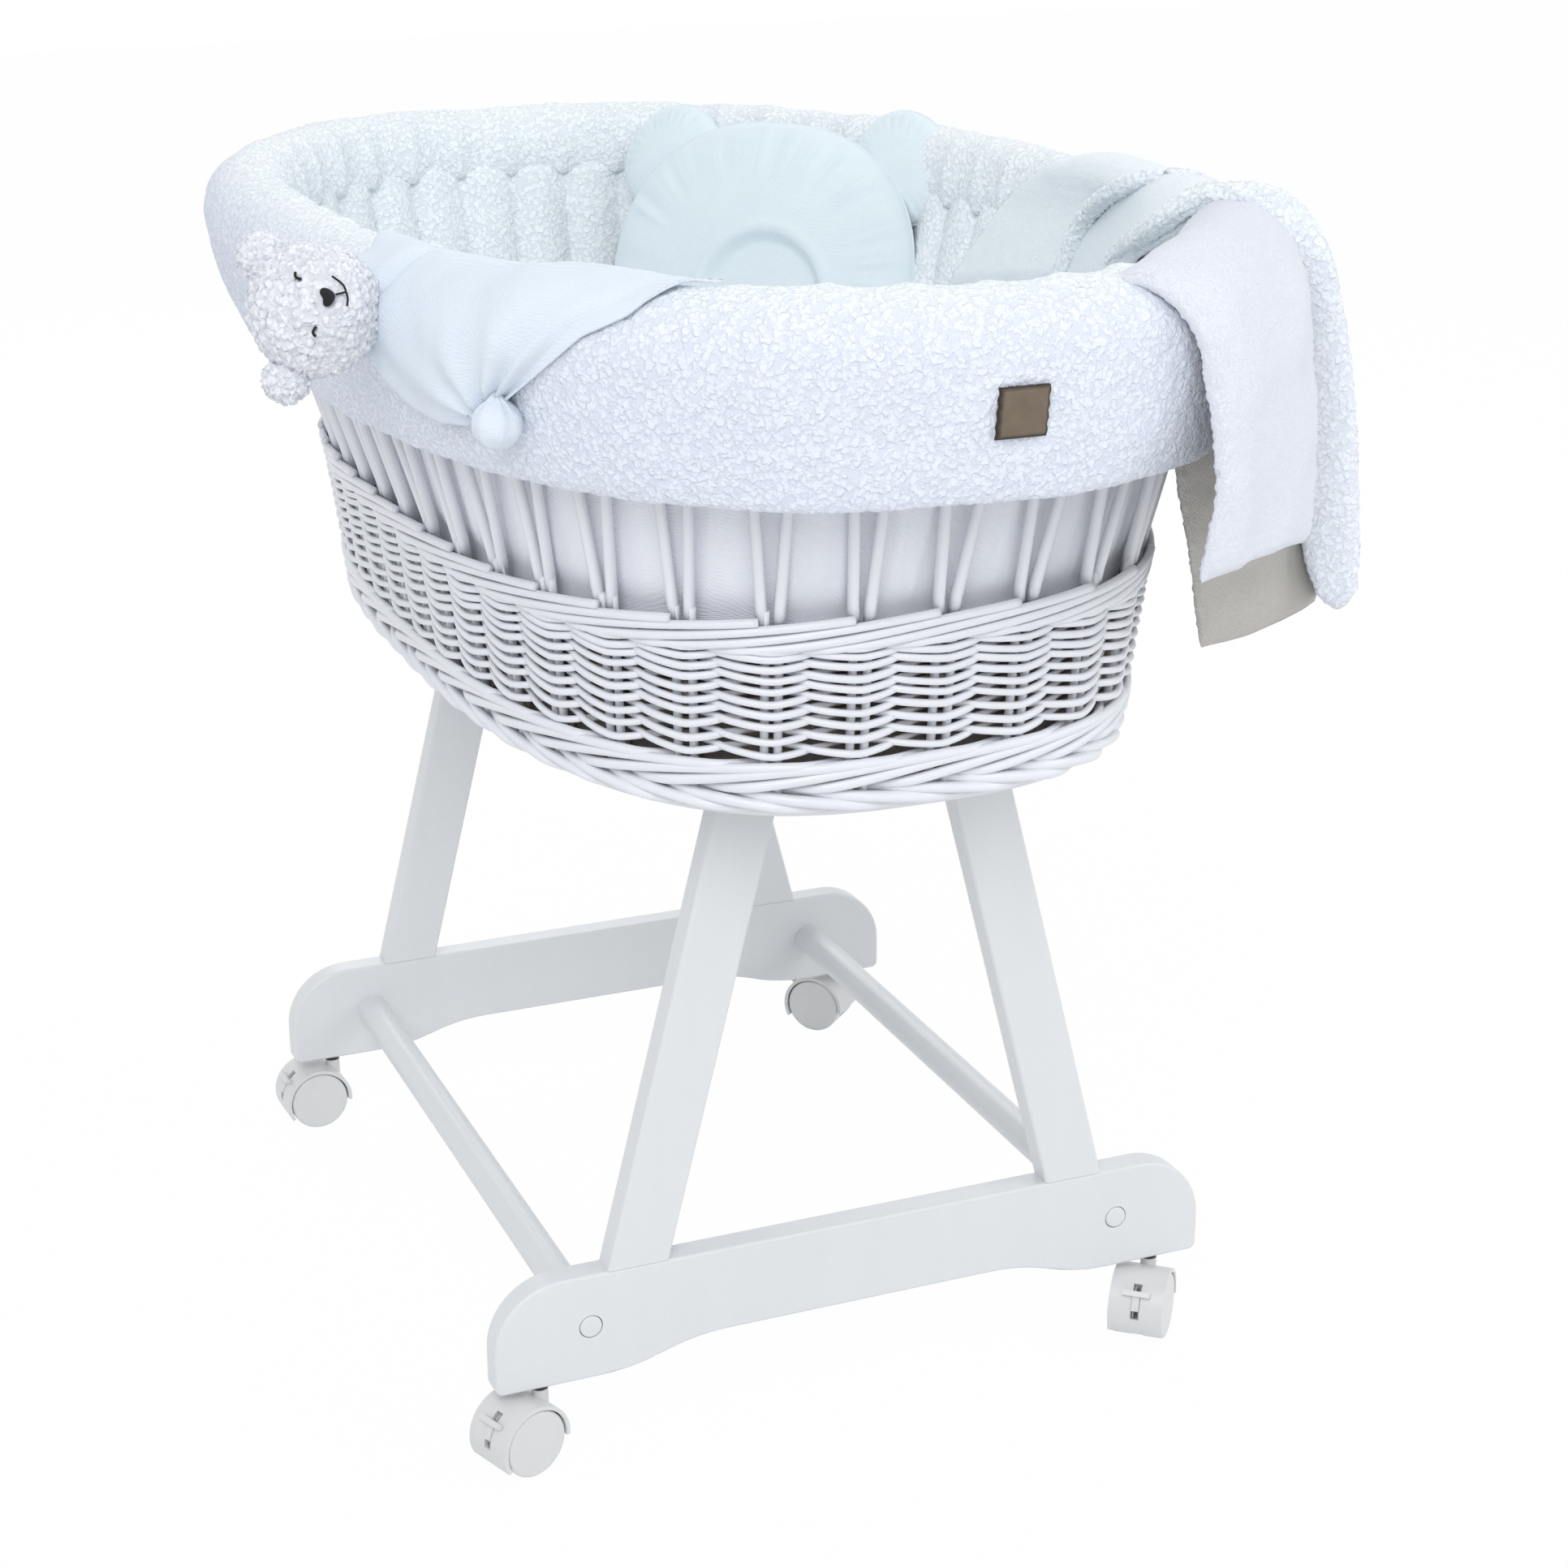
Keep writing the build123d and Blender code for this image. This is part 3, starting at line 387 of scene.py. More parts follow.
def material(name, build, sheen=0.0, specular=0.5, coat=0.0, metallic=0.0):
    """Material with a Principled shader; build returns its colour, roughness, height and bump distance."""
    mat = bpy.data.materials.new(name)
    mat.use_nodes = True
    net = Net(mat.node_tree)
    where = net.node("ShaderNodeTexCoord").outputs["Object"]
    colour, roughness, height, distance = build(net, where)
    bump = net.node("ShaderNodeBump", {"Distance": distance, "Height": height})
    looks = {"Base Color": colour, "Roughness": roughness, "Normal": bump.outputs[0], "Sheen Weight": sheen,
             "Specular IOR Level": specular, "Coat Weight": coat, "Metallic": metallic}
    for key, value in looks.items():
        net.set(mat.node_tree.nodes["Principled BSDF"].inputs[key], value)
    return mat


def rgb(r, g, b):
    return (r, g, b, 1.0)


def painted(name, low, high, roughness, distance, coat=0.0):
    """Paint or plastic between two tones."""
    def build(net, where):
        marks = net.group(BRUSHWORK, Vector=where)
        rough = net.ramp(marks["Height"], 0.2, 0.8, roughness - 0.06, roughness + 0.08)
        return net.mix(marks["Tone"], low, high), rough, marks["Height"], distance
    return material(name, build, coat=coat)


def woven(name, low, high, threads=4200.0, distance=0.00025, dark=None):
    """Cloth between two tones; dark is a painted shade colour, used where the shade value is 1."""
    def build(net, where):
        weave = net.group(THREAD, Vector=where, Threads=threads)
        colour = net.mix(weave["Tone"], low, high)
        if dark is not None:
            colour = net.mix(net.shade(), colour, dark)
        return colour, net.ramp(weave["Tone"], 0.2, 0.8, 0.95, 0.8), weave["Height"], distance
    return material(name, build, sheen=0.12, specular=0.2)


def piled(name, painted_crease_shade, crown, curl, distance, painted_inside_light=None):
    """Curly pile with painted shade in the creases; a second colour pair is painted inside light, used where
    the shade value is 1.
    """
    def build(net, where):
        fleece = net.group(PILE, Vector=where, Curl_scale=curl)
        depth = net.ramp(fleece["Tone"], 0.05, 0.85)
        # Creases take the darker colour: painted shade.
        colour = net.mix(depth, painted_crease_shade, crown)
        # Parts inside the rim take a lighter painted light.
        if painted_inside_light is not None:
            colour = net.mix(net.shade(), colour, net.mix(depth, *painted_inside_light))
        return colour, net.ramp(depth, 0.1, 0.9, 1.0, 0.92), fleece["Height"], distance
    return material(name, build, sheen=0.06, specular=0.06)


def willow(name):
    """White lacquer over willow rods, brown where bare: the unpainted inner sides, whose dark brown is also
    painted shade for the gaps.
    """
    def build(net, where):
        marks = net.group(BRUSHWORK, Vector=where)
        paint = net.mix(marks["Tone"], rgb(0.69, 0.70, 0.745), rgb(0.80, 0.815, 0.86))
        # Bare brown is real unpainted willow, made dark so that it also stands in as painted shade in the
        # gaps.
        bare = net.mix(marks["Height"], rgb(0.21, 0.18, 0.155), rgb(0.40, 0.35, 0.30))
        bare_and_shade = net.math("MULTIPLY_ADD", marks["Tone"], 0.3, net.math("SUBTRACT", net.shade(), 0.15))
        colour = net.mix(net.ramp(bare_and_shade, 0.3, 0.75), paint, bare)
        return colour, net.ramp(marks["Height"], 0.2, 0.8, 0.34, 0.52), marks["Height"], 0.0003
    return material(name, build, coat=0.15)


def hide(name):
    """Brown leather with grain and a burnt edge."""
    def build(net, where):
        inputs = {"Vector": where, "Scale": 900.0}
        cells = net.node("ShaderNodeTexVoronoi", inputs, feature="DISTANCE_TO_EDGE")
        grain = net.ramp(cells.outputs["Distance"], 0.0, 0.25)
        cloud = net.noise(where, 90.0, 4.0)
        face = net.mix(cloud, rgb(0.125, 0.092, 0.062), rgb(0.20, 0.155, 0.112))
        colour = net.mix(net.shade(), face, rgb(0.02, 0.013, 0.01))
        return colour, net.ramp(cloud, 0.2, 0.8, 0.62, 0.48), grain, 0.00015
    return material(name, build)


def metal(name):
    """Drawn metal with faint scratches."""
    def build(net, where):
        scratch = net.noise(where, 60.0, 4.0, 0.6, stretch=(1.0, 1.0, 14.0))
        colour = net.mix(scratch, rgb(0.62, 0.62, 0.61), rgb(0.5, 0.5, 0.5))
        return colour, net.ramp(scratch, 0.2, 0.8, 0.25, 0.42), scratch, 0.00004
    return material(name, build, metallic=1.0)


PAINTED_WOOD = painted("painted wood", rgb(0.64, 0.655, 0.67), rgb(0.72, 0.735, 0.755), 0.42, 0.0003,
                       coat=0.1)
CAP_PLASTIC = painted("cap plastic", rgb(0.645, 0.66, 0.67), rgb(0.715, 0.73, 0.74), 0.4, 0.00006)
WHITE_PLASTIC = painted("white plastic", rgb(0.61, 0.615, 0.62), rgb(0.69, 0.695, 0.70), 0.33, 0.00005,
                        coat=0.1)
DARK_PLASTIC = painted("dark plastic", rgb(0.02, 0.02, 0.022), rgb(0.05, 0.05, 0.052), 0.5, 0.00006)
BARE_WOOD = painted("bare beech", rgb(0.42, 0.28, 0.15), rgb(0.6, 0.42, 0.25), 0.6, 0.0003)
STEEL = metal("zinc steel")
WILLOW = willow("white willow")
# Liner cotton: its dark colour is painted shade for the bag behind the weave.
COTTON = woven("liner cotton", rgb(0.81, 0.83, 0.89), rgb(0.86, 0.88, 0.935), dark=rgb(0.2, 0.18, 0.165))
SHEET = woven("mattress cotton", rgb(0.80, 0.83, 0.87), rgb(0.86, 0.89, 0.92))
PERCALE = woven("pillow cotton", rgb(0.70, 0.79, 0.835), rgb(0.76, 0.845, 0.885), 5200.0, 0.00015)
MUSLIN = woven("toy muslin", rgb(0.67, 0.735, 0.815), rgb(0.73, 0.79, 0.865), 2600.0)
# Smooth back of the throw: its white cloth is painted in a darker beige as painted shade.
SHADED_UNDERSIDE = woven("blanket underside", rgb(0.47, 0.455, 0.43), rgb(0.54, 0.525, 0.50), 3000.0, 0.0004)
STITCH = woven("black stitch", rgb(0.012, 0.012, 0.014), rgb(0.03, 0.03, 0.032), 6000.0)
# Sherpa: the darker colours are painted shade in the creases; the second pair is a lighter, less blue
# painted light for the inner lip, the bumper and the throw's inside parts.
SHERPA = piled("sherpa", rgb(0.675, 0.715, 0.81), rgb(0.775, 0.815, 0.90), 285.0, 0.0006,
               painted_inside_light=(rgb(0.75, 0.80, 0.845), rgb(0.865, 0.91, 0.935)))
# Plush: the darker colours are painted shade in the creases; the second pair is a lighter painted light for
# the layers inside the rim.
PLUSH = piled("blanket plush", rgb(0.745, 0.775, 0.85), rgb(0.79, 0.815, 0.88), 620.0, 0.00025,
              painted_inside_light=(rgb(0.83, 0.895, 0.935), rgb(0.87, 0.93, 0.96)))
# Toy pile: its darker colour is painted shade in the creases.
TOY_CURLS = piled("toy curls", rgb(0.69, 0.71, 0.77), rgb(0.825, 0.84, 0.885), 230.0, 0.0008)
LEATHER = hide("brown leather")
SLOT_MATERIALS = {
    "painted_wood": PAINTED_WOOD, "cap_plastic": CAP_PLASTIC, "steel": STEEL, "plain_wood": BARE_WOOD,
    "dark_plastic": DARK_PLASTIC, "white_plastic": WHITE_PLASTIC, "white_wicker": WILLOW,
    "liner_cotton": COTTON, "sherpa": SHERPA, "mattress_cotton": SHEET, "pillow_cotton": PERCALE,
    "blanket_plush": PLUSH, "toy_plush": TOY_CURLS, "toy_muslin": MUSLIN, "leather": LEATHER,
}


def dress():
    """Give each CAD node the material of its slot."""
    for entry in frame["record"]["subparts"]:
        materials = frame["nodes"][entry["node"]].data.materials
        materials.clear()
        materials.append(SLOT_MATERIALS[entry["material_slot"]])


# Stand

CAP_GAP, CAP_DEPTH, CAP_PROUD = 0.4, 1.9, 1.05


def make_caps():
    """Domed covers over the stretcher bolts, a little proud of the rails."""
    low, high = [np.array(v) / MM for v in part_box("cover_caps")]
    radius = (high[2] - low[2]) / 2
    dome = [(radius - CAP_GAP, -CAP_DEPTH), (radius - CAP_GAP, 0.0), (radius - 0.8, 0.6),
            (radius - 2.0, 0.85), (radius / 2, 1.0), (0.3, CAP_PROUD)]
    section = resample(dome, 0.4, 2)
    turn = turns(48)
    reach, proud = section[:, :1], section[:, 1:] * np.ones(len(turn))
    mesh = Mesh()
    for side in (-1, 1):
        for end in (-1, 1):
            centre = (side * (high[0] - radius), end * high[1], (low[2] + high[2]) / 2)
            disc = np.stack([end * reach * np.cos(turn), end * proud, reach * np.sin(turn)], -1)
            mesh.add(centre + disc, tube_faces(len(section), len(turn), flip=True))
    mesh.piece("bolt_cover_caps", [CAP_PLASTIC], "stand", "cap_plastic", ["cover_caps"])


# Wicker: radii of the rods and their reach off the wall's middle. Runs along the wall count stake pairs.

WEAVER_R, FOOT_WALE_R, WALE_R, BORDER_R = 2.25, 3.2, 2.75, 3.4
STAKE_R, HIDDEN_STAKE_R = 3.5, 2.6
WEAVE_OUT, FOOT_WALE_OUT = 5.2, 5.4
WEAVE_LOW, WEAVE_TOP = 470.0, WAIST_Z - 16.0
ROW_STEP, LEAST_STEP, STEP_LOSS = 8.3, 5.0, 0.4
FOOT_WALE_Z, FOOT_WALE_RISE = 446.5, 15.5
WALE_Z, WALE_RISE, WALE_RUN = 527.0, 18.5, 4.0
BORDER_RODS, BORDER_RUN, BORDER_TOP, BORDER_FALL = 46, 2.9, 446.0, 17.0
# Core of the border: height, reach, radius and share of bare wood of each rod; the bare wood is dark brown,
# partly painted shade
BORDER_CORE = ((430.5, -9.5, 5.0, 0.0), (437.5, -9.0, 5.2, 1.0))
STAKE_LOW, STAKE_TOP, STAKE_GAP = WAIST_Z - 6.0, 694.0, 0.18
LEAN_BACK, LEAN_ON = 0.22, 0.16
HIDDEN_STAKE_LOW, HIDDEN_STAKE_TOP, HIDDEN_STAKE_GAP = 438.0, WAIST_Z + 4.0, 0.085
BASE_RINGS, BASE_RING_R, BASE_INSET, BASE_STEP = 20, 3.9, 18.5, 8.2
BASE_STICKS, BASE_STICK_R, BASE_STICK_REACH = 9, 5.0, 150.0


def bare_and_shade_by_depth(out):
    """Share of bare brown on a rod at a distance out from the wall's middle: the unpainted inner side,
    darkened as painted shade for the gaps.
    """
    def value(proud):
        return smooth(-(np.asarray(out)[:, None] + proud), -0.5, 5.0)
    return value


def rod_on_wall(mesh, pitch, z, out, radius, sides, closed=False):
    angle = even_angles(float(np.mean(z)), pitch / PAIRS)
    add_rod(mesh, on_wall(angle, z, out), radius, ring_normal(angle, z), sides, bare_and_shade_by_depth(out), closed)


def rod_at_foot(mesh, angle, z, out, radius, sides, value, closed=False):
    path = on_wall(angle, FOOT_Z, out)
    path[:, 2] = z
    add_rod(mesh, path, radius, ring_normal(angle, FOOT_Z), sides, value, closed)


def weave_rows():
    """Heights of the pairing rows, closer towards the top."""
    rows, z, step = [], WEAVE_LOW, ROW_STEP
    while z < WEAVE_TOP:
        rows.append(z)
        z += step
        step = max(LEAST_STEP, step - STEP_LOSS)
    return rows


def make_woven_band():
    """Pairing rows, a slanting wale below them and the stakes that they are woven round."""
    mesh = Mesh()
    per_pitch = 12
    p = np.arange(PAIRS * per_pitch) / per_pitch
    for k, row in enumerate(weave_rows()):
        rise = 3.5 - 1.2 * smooth(row, WAIST_Z - 45, WAIST_Z - 18)
        for strand in (0, 1):
            reach = np.abs((p + strand + 1) % 2 - 1)
            bend = np.sqrt(reach ** 2 + 0.003) - 0.055
            jitter = 0.4 * np.sin(p * 1.7 + k * 2.1) + 0.3 * np.sin(p * 0.61 + 5 * k + strand)
            z = row - rise + 2 * rise * bend + jitter
            out = WEAVE_OUT * signed_power(np.cos(pi * (p + strand + 0.1)), 0.75)
            radius = WEAVER_R + 0.16 * np.sin(p * 0.37 + k * 1.3 + strand * 2)
            rod_on_wall(mesh, p, z, out, radius, 7, closed=True)
    s = np.linspace(-2.2, 2.15, 46)
    for i in range(PAIRS):
        z = FOOT_WALE_Z + FOOT_WALE_RISE * smooth(s, -2.1, 2.0) + 2.2 * np.cos(s * 1.4)
        out = FOOT_WALE_OUT * (2 * smooth(np.abs(s), 2.1, 1.25) - 1)
        radius = FOOT_WALE_R * (0.8 + 0.2 * smooth(np.abs(s), 2.2, 1.2)) + rng.uniform(-0.2, 0.2)
        rod_on_wall(mesh, i + s, z + rng.uniform(-0.5, 0.5), out, radius, 8)
    z = np.linspace(HIDDEN_STAKE_LOW, HIDDEN_STAKE_TOP, 12)
    for i in range(PAIRS):
        for side in (-HIDDEN_STAKE_GAP, HIDDEN_STAKE_GAP):
            angle = even_angles(500.0, (i + side + 0.01 * rng.standard_normal()) / PAIRS)
            add_rod(mesh, on_wall(angle, z, 0.0), HIDDEN_STAKE_R, ring_normal(angle, z), 7, 0.12)
    mesh.piece("woven_band", [WILLOW], "basket", "white_wicker", ["basket_wall"])


def make_upper_wale():
    """Rods that climb along the top of the weave and end, cut off, beside a stake pair."""
    mesh = Mesh()
    for i in range(PAIRS):
        s = np.linspace(-4.1, -0.14 + rng.uniform(-0.05, 0.05), 48)
        climb = (s + WALE_RUN) / WALE_RUN
        z = WALE_Z + WALE_RISE * np.clip(climb, 0, 1) ** 1.15 - 0.8 * np.sin(TAU * climb)
        out = -3.5 + 9.5 * smooth(s, -4.1, -3.3) + 0.35 * s
        radius = WALE_R * (0.75 + 0.25 * smooth(s, -WALE_RUN, -2.5)) + rng.uniform(-0.2, 0.2)
        rod_on_wall(mesh, i + s, z + rng.uniform(-0.5, 0.5), out, radius, 8)
    mesh.piece("upper_wale_rods", [WILLOW], "basket", "white_wicker", ["upper_wale"])


def make_foot_border():
    """Thick rods laid over each other like rope round the foot, on a hidden core."""
    mesh = Mesh()
    s = np.linspace(0, 1, 34)
    for i in range(BORDER_RODS):
        z = BORDER_TOP - BORDER_FALL * s + 1.5 * np.sin(pi * s) + 3.0 * smooth(s, 0.82, 1.0)
        out = -7.0 + 11.5 * smooth(s, -0.05, 0.45) - 13.0 * smooth(s, 0.66, 1.0)
        taper = 0.5 + 0.5 * np.sin(pi * np.clip(s * 0.92 + 0.06, 0, 1)) ** 0.6
        radius = BORDER_R * taper + rng.uniform(-0.4, 0.3)
        angle = even_angles(FOOT_Z, i / BORDER_RODS + s * BORDER_RUN / PAIRS)
        rod_at_foot(mesh, angle, z, out, radius, 9, bare_and_shade_by_depth(out + 1.5))
    angle = even_angles(FOOT_Z, np.linspace(0, 1, 240, endpoint=False))
    for z, out, radius, bare in BORDER_CORE:
        rod_at_foot(mesh, angle, z, out, radius, 8, bare, closed=True)
    mesh.piece("foot_border_rods", [WILLOW], "basket", "white_wicker", ["foot_border"])


def make_stakes():
    """Pairs of stakes that spread towards the rim, each a little bent."""
    mesh = Mesh()
    t = np.linspace(0, 1, 14)
    z = STAKE_LOW + (STAKE_TOP - STAKE_LOW) * t
    for i in range(PAIRS):
        for foot, head in ((0.0, -LEAN_BACK), (STAKE_GAP, STAKE_GAP + LEAN_ON)):
            head += 0.05 * rng.standard_normal()
            low = even_angles(WAIST_Z, (i + foot - STAKE_GAP / 2) / PAIRS)
            high = even_angles(STAKE_TOP, (i + head - STAKE_GAP / 2) / PAIRS)
            high -= TAU * round((high - low) / TAU)
            angle = low + (high - low) * (t + 0.12 * np.sin(pi * t) * rng.uniform(-0.6, 1.0))
            out = -0.4 + 1.2 * np.sin(pi * t) * rng.uniform(-0.3, 1.0)
            radius = STAKE_R * (1 - 0.1 * t) + rng.uniform(-0.15, 0.15)
            add_rod(mesh, on_wall(angle, z, out), radius, ring_normal(angle, z), 8)
    mesh.piece("stakes", [WILLOW], "basket", "white_wicker", ["basket_stakes"])


def make_woven_base():
    """Underside: sticks across, with rods woven round them in ovals, under a plain floor."""
    mesh = Mesh()
    turn = turns(300)
    half_w, half_l, power = WALL_W[0], WALL_L[0], WALL_N[0]
    for k in range(BASE_RINGS):
        inset = BASE_INSET + BASE_STEP * k
        z = PLATFORM_Z + 8.5 + 3.0 * np.cos(turn * 28 + pi * k)
        path = at_height(*polar(half_w - inset, half_l - inset, power, turn), z)
        add_rod(mesh, path, BASE_RING_R, (0, 0, 1), 6, 0.15, closed=True)
    for x in np.linspace(-BASE_STICK_REACH, BASE_STICK_REACH, BASE_STICKS):
        y = np.linspace(-1, 1, 30) * (half_l - 17) * (1 - abs(x / (half_w - 15)) ** power) ** (1 / power)
        path = at_height(np.full_like(y, x), y, PLATFORM_Z + 10.0)
        add_rod(mesh, path, BASE_STICK_R, (0, 0, 1), 7, 0.25)
    rows = [at_height(*polar(share * (half_w - 15.8), share * (half_l - 15.8), power, turn), FOOT_Z - 1.5)
            for share in (0.02, 0.35, 0.7, 1.0)]
    # The plain floor is all bare: dark brown, partly painted shade.
    mesh.add(np.array(rows), grid_quads(len(rows), len(turn), wrap_cols=True), 1.0)
    mesh.piece("woven_base", [WILLOW], "basket", "white_wicker", ["basket_base"])


# Liner

# Section of the cuff: how far beyond the rim at the sides and at the ends, and how far above it
CUFF_SHOWN = [
    (-8, 9, -83), (0, 17, -86), (5, 21, -81), (13, 26, -64), (22, 30.5, -40), (29, 33.5, -16),
    (30, 34, -2), (26, 29, 11), (17, 18, 21), (6, 6, 25.5), (-7, -7, 24.5), (-16, -16, 18.5),
    (-20.5, -20.5, 8), (-22.8, -22.8, -5), (-22.8, -22.8, -16), (-20, -20, -23)]
CUFF_HIDDEN = [(-12, -12, -8.5), (-9.5, -9.5, 8.6), (4, 4, 9.2), (14.5, 14.5, 8.8), (15, 19, -8),
               (5, 15.5, -48), (-9, 7, -82)]
CUFF_COLUMNS, CUFF_CURL = 930, 6.0
CHANNELS, CHANNEL_COLUMNS = 52, 18
BUMPER_IN, BUMPER_BACK, BUMPER_SEAM, BUMPER_PUFF, BUMPER_CURL = 20.3, 10.3, 13.2, 8.0, 6.8
BAG_OUT, BAG_INNER, BAG_OUTER = -8.2, -9.9, -4.3
MATTRESS_LOW, MATTRESS_TOP, MATTRESS_GAP = 445.3, 495.3, 1.5
# Section of the mattress: beyond its side and above its underside
MATTRESS_SIDE = [(-60, 0.5), (-14, 0), (-3, 3), (0, 14), (0, 36), (-3, 45), (-9, 47.6), (-10, 46.2),
                 (-13, 47), (-40, 49), (-120, 50)]
PATCH_X, PATCH_Z, PATCH_HALF_W, PATCH_HALF_H, PATCH_PROUD = 2.0, 668.5, 14.2, 13.6, 2.1


def quilt_puff(share):
    """Fullness of the upright channels: 0 on a sewn line, 1 between two lines."""
    return np.maximum(np.sin(pi * ((share * CHANNELS) % 1)), 0) ** 0.75


def make_cuff():
    """Padded curly cuff: skirt outside the rim, roll on top, quilted lip down the inside."""
    front, back = resample(CUFF_SHOWN, 2.5, 2), resample(CUFF_HIDDEN, 12.0, 1)
    share = np.arange(CUFF_COLUMNS) / CUFF_COLUMNS
    turn = even_angles(RIM_Z, share)
    points = np.array([cuff_point(turn, s, e, RIM_Z + up) for s, e, up in np.concatenate([front, back])])
    count = len(front)
    skin, row = points[:count], np.arange(count)
    normal = -grid_normals(points, True, True)[:count]
    ends = np.minimum(1, row / 6) * np.minimum(1, row[::-1] / 5)
    swell = 2.2 * wobble(skin, 70.0) + 0.8 * wobble(skin, 28.0, 3.0)
    tufts = 1.5 * (curls(skin, CUFF_CURL) - 0.62)
    near = np.abs(skin[..., 0] - PATCH_X) + np.abs(skin[..., 2] - PATCH_Z)
    calm = np.where(skin[..., 1] < -400, smooth(near, 12.0, 24.0), 1.0)
    quilting = -5.5 * (1 - quilt_puff(share)) * smooth(row, 0.6 * count, 0.9 * count)[:, None]
    skin += normal * ((swell + tufts) * ends[:, None] * (0.25 + 0.75 * calm) + quilting)[..., None]
    # Share of the sherpa's lighter painted inside light: full from the crest down the inner lip.
    painted_inside_light = np.full(points.shape[:2], 0.4)
    painted_inside_light[:count] = smooth(row, 0.45 * count, 0.7 * count)[:, None]
    mesh = Mesh()
    mesh.add(points, grid_quads(*points.shape[:2], True, True), painted_inside_light)
    piece = mesh.piece("sherpa_cuff", [SHERPA], "basket", "sherpa", ["liner_cuff"])


def make_bumper():
    """Quilted inside wall: upright sewn channels that run up under the lip of the cuff."""
    share = np.arange(CHANNELS * CHANNEL_COLUMNS) / (CHANNELS * CHANNEL_COLUMNS)
    puff = BUMPER_PUFF * quilt_puff(share)
    points = np.array([on_wall(even_angles(z, share), z, -(BUMPER_SEAM + puff * smooth(z, 698.0, 682.0)))
                       for z in np.arange(447.0, 703.5, 2.8)])
    normal = grid_normals(points, False, True)
    normal *= np.sign((normal[..., :2] * -points[..., :2]).sum(-1, keepdims=True))
    crumple = 1.3 * wobble(points, 26.0, 5.0)
    points = points + normal * (1.2 * (curls(points, BUMPER_CURL) - 0.7) + crumple)[..., None]
    back = [on_wall(even_angles(z, share), z, -BUMPER_BACK) for z in (702.0, 600.0, WAIST_Z, 447.5)]
    points = np.concatenate([points, back])
    mesh = Mesh()
    # The whole bumper takes the sherpa's lighter painted inside light.
    mesh.add(points, grid_quads(*points.shape[:2], True, True)[:, ::-1], 1.0)
    piece = mesh.piece("quilted_bumper", [SHERPA], "basket", "sherpa", ["liner_bumper"])


def make_bag():
    """Cotton bag behind the stakes, gathered in soft upright folds, with painted shade below the waist where
    the weave covers it.
    """
    share = np.arange(900) / 900
    folds, gathers = ring_noise(TAU * share, 9, 0.3), ring_noise(TAU * share, 26, 4.3)
    rows, dark = [], []
    for z in np.concatenate([np.linspace(447, 530, 6), np.linspace(536, 692, 28)]):
        slant = 0.004 * np.sin(share * TAU * 9) * (z - 600) / 90
        crest = 1 - 2.6 * np.abs(np.interp((share + slant) % 1, share, folds))
        small = 1 - 2.6 * np.abs(np.interp((share - slant) % 1, share, gathers))
        depth = 2.1 * np.clip(crest, -1, 1) * np.abs(crest) + 0.9 * np.clip(small, -1, 1) + 0.5
        out = np.clip(BAG_OUT + smooth(z, 540, 562) * depth, BAG_INNER, BAG_OUTER)
        rows.append(on_wall(even_angles(z, share), z, out))
        # Painted shade: full up to the top of the weave, fading out just above it.
        dark.append(np.full_like(share, 1 - smooth(z, 528, 537)))
    mesh = Mesh()
    mesh.add(np.array(rows), grid_quads(len(rows), len(share), wrap_cols=True), np.array(dark))
    piece = mesh.piece("cotton_bag", [COTTON], "basket", "liner_cotton", ["liner_bag"])


def make_mattress():
    """Pad with a piped edge, closed above and below."""
    turn = turns(260)
    width, length, power = wall_line(MATTRESS_LOW)
    width, length = width - BUMPER_IN - MATTRESS_GAP, length - BUMPER_IN - MATTRESS_GAP
    points = np.array([at_height(*polar(width + out, length + out, power, turn), MATTRESS_LOW + up)
                       for out, up in resample(MATTRESS_SIDE, 4.0, 1)])
    points[..., 2] += 0.8 * wobble(points, 45.0, 9.0)
    mesh = Mesh()
    mesh.add(points, grid_quads(*points.shape[:2], wrap_cols=True))
    for ring, level, under in ((points[0], 0.5, True), (points[-1], 50.2, False)):
        fan = np.array([ring * (share, share, 1) for share in (1.0, 0.66, 0.33, 0.05)])
        fan[1:, :, 2] = MATTRESS_LOW + level
        mesh.add(fan, tube_faces(len(fan), len(turn), flip=under, first=False))
    piece = mesh.piece("mattress_pad", [SHEET], "basket", "mattress_cotton", ["mattress"])


def make_patch():
    """Bare leather patch with a burnt edge, lying on the cuff."""
    low, high = [np.array(v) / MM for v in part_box("leather_patch")]
    u = np.linspace(-1, 1, 26)
    x, z = np.meshgrid((low[0] + high[0]) / 2 + PATCH_HALF_W * u, (low[2] + high[2]) / 2 + PATCH_HALF_H * u)
    edge = np.maximum(np.abs(u)[None, :], np.abs(u)[:, None])
    x = x + (0.35 * np.sin(z * 0.9) + 0.3 * np.sin(x * 1.1)) * smooth(edge, 0.8, 1.0)
    up_skirt = np.clip((z - RIM_Z + 84.5) / 76, 0, 1) ** 0.75
    y = -(WALL_L[2] + 21.0 + 12.5 * up_skirt) - 3.4 + 0.0009 * x ** 2
    front = np.stack([x, y - PATCH_PROUD + 0.9 * smooth(edge, 0.82, 1.0), z], -1)
    back = np.stack([x, y + 0.8, z], -1)
    mesh = Mesh()
    add_two_sided(mesh, front, back, smooth(edge, 0.86, 0.96), 1.0)
    mesh.piece("leather_tag", [LEATHER], "basket", "leather", ["leather_patch"])


# Bedding

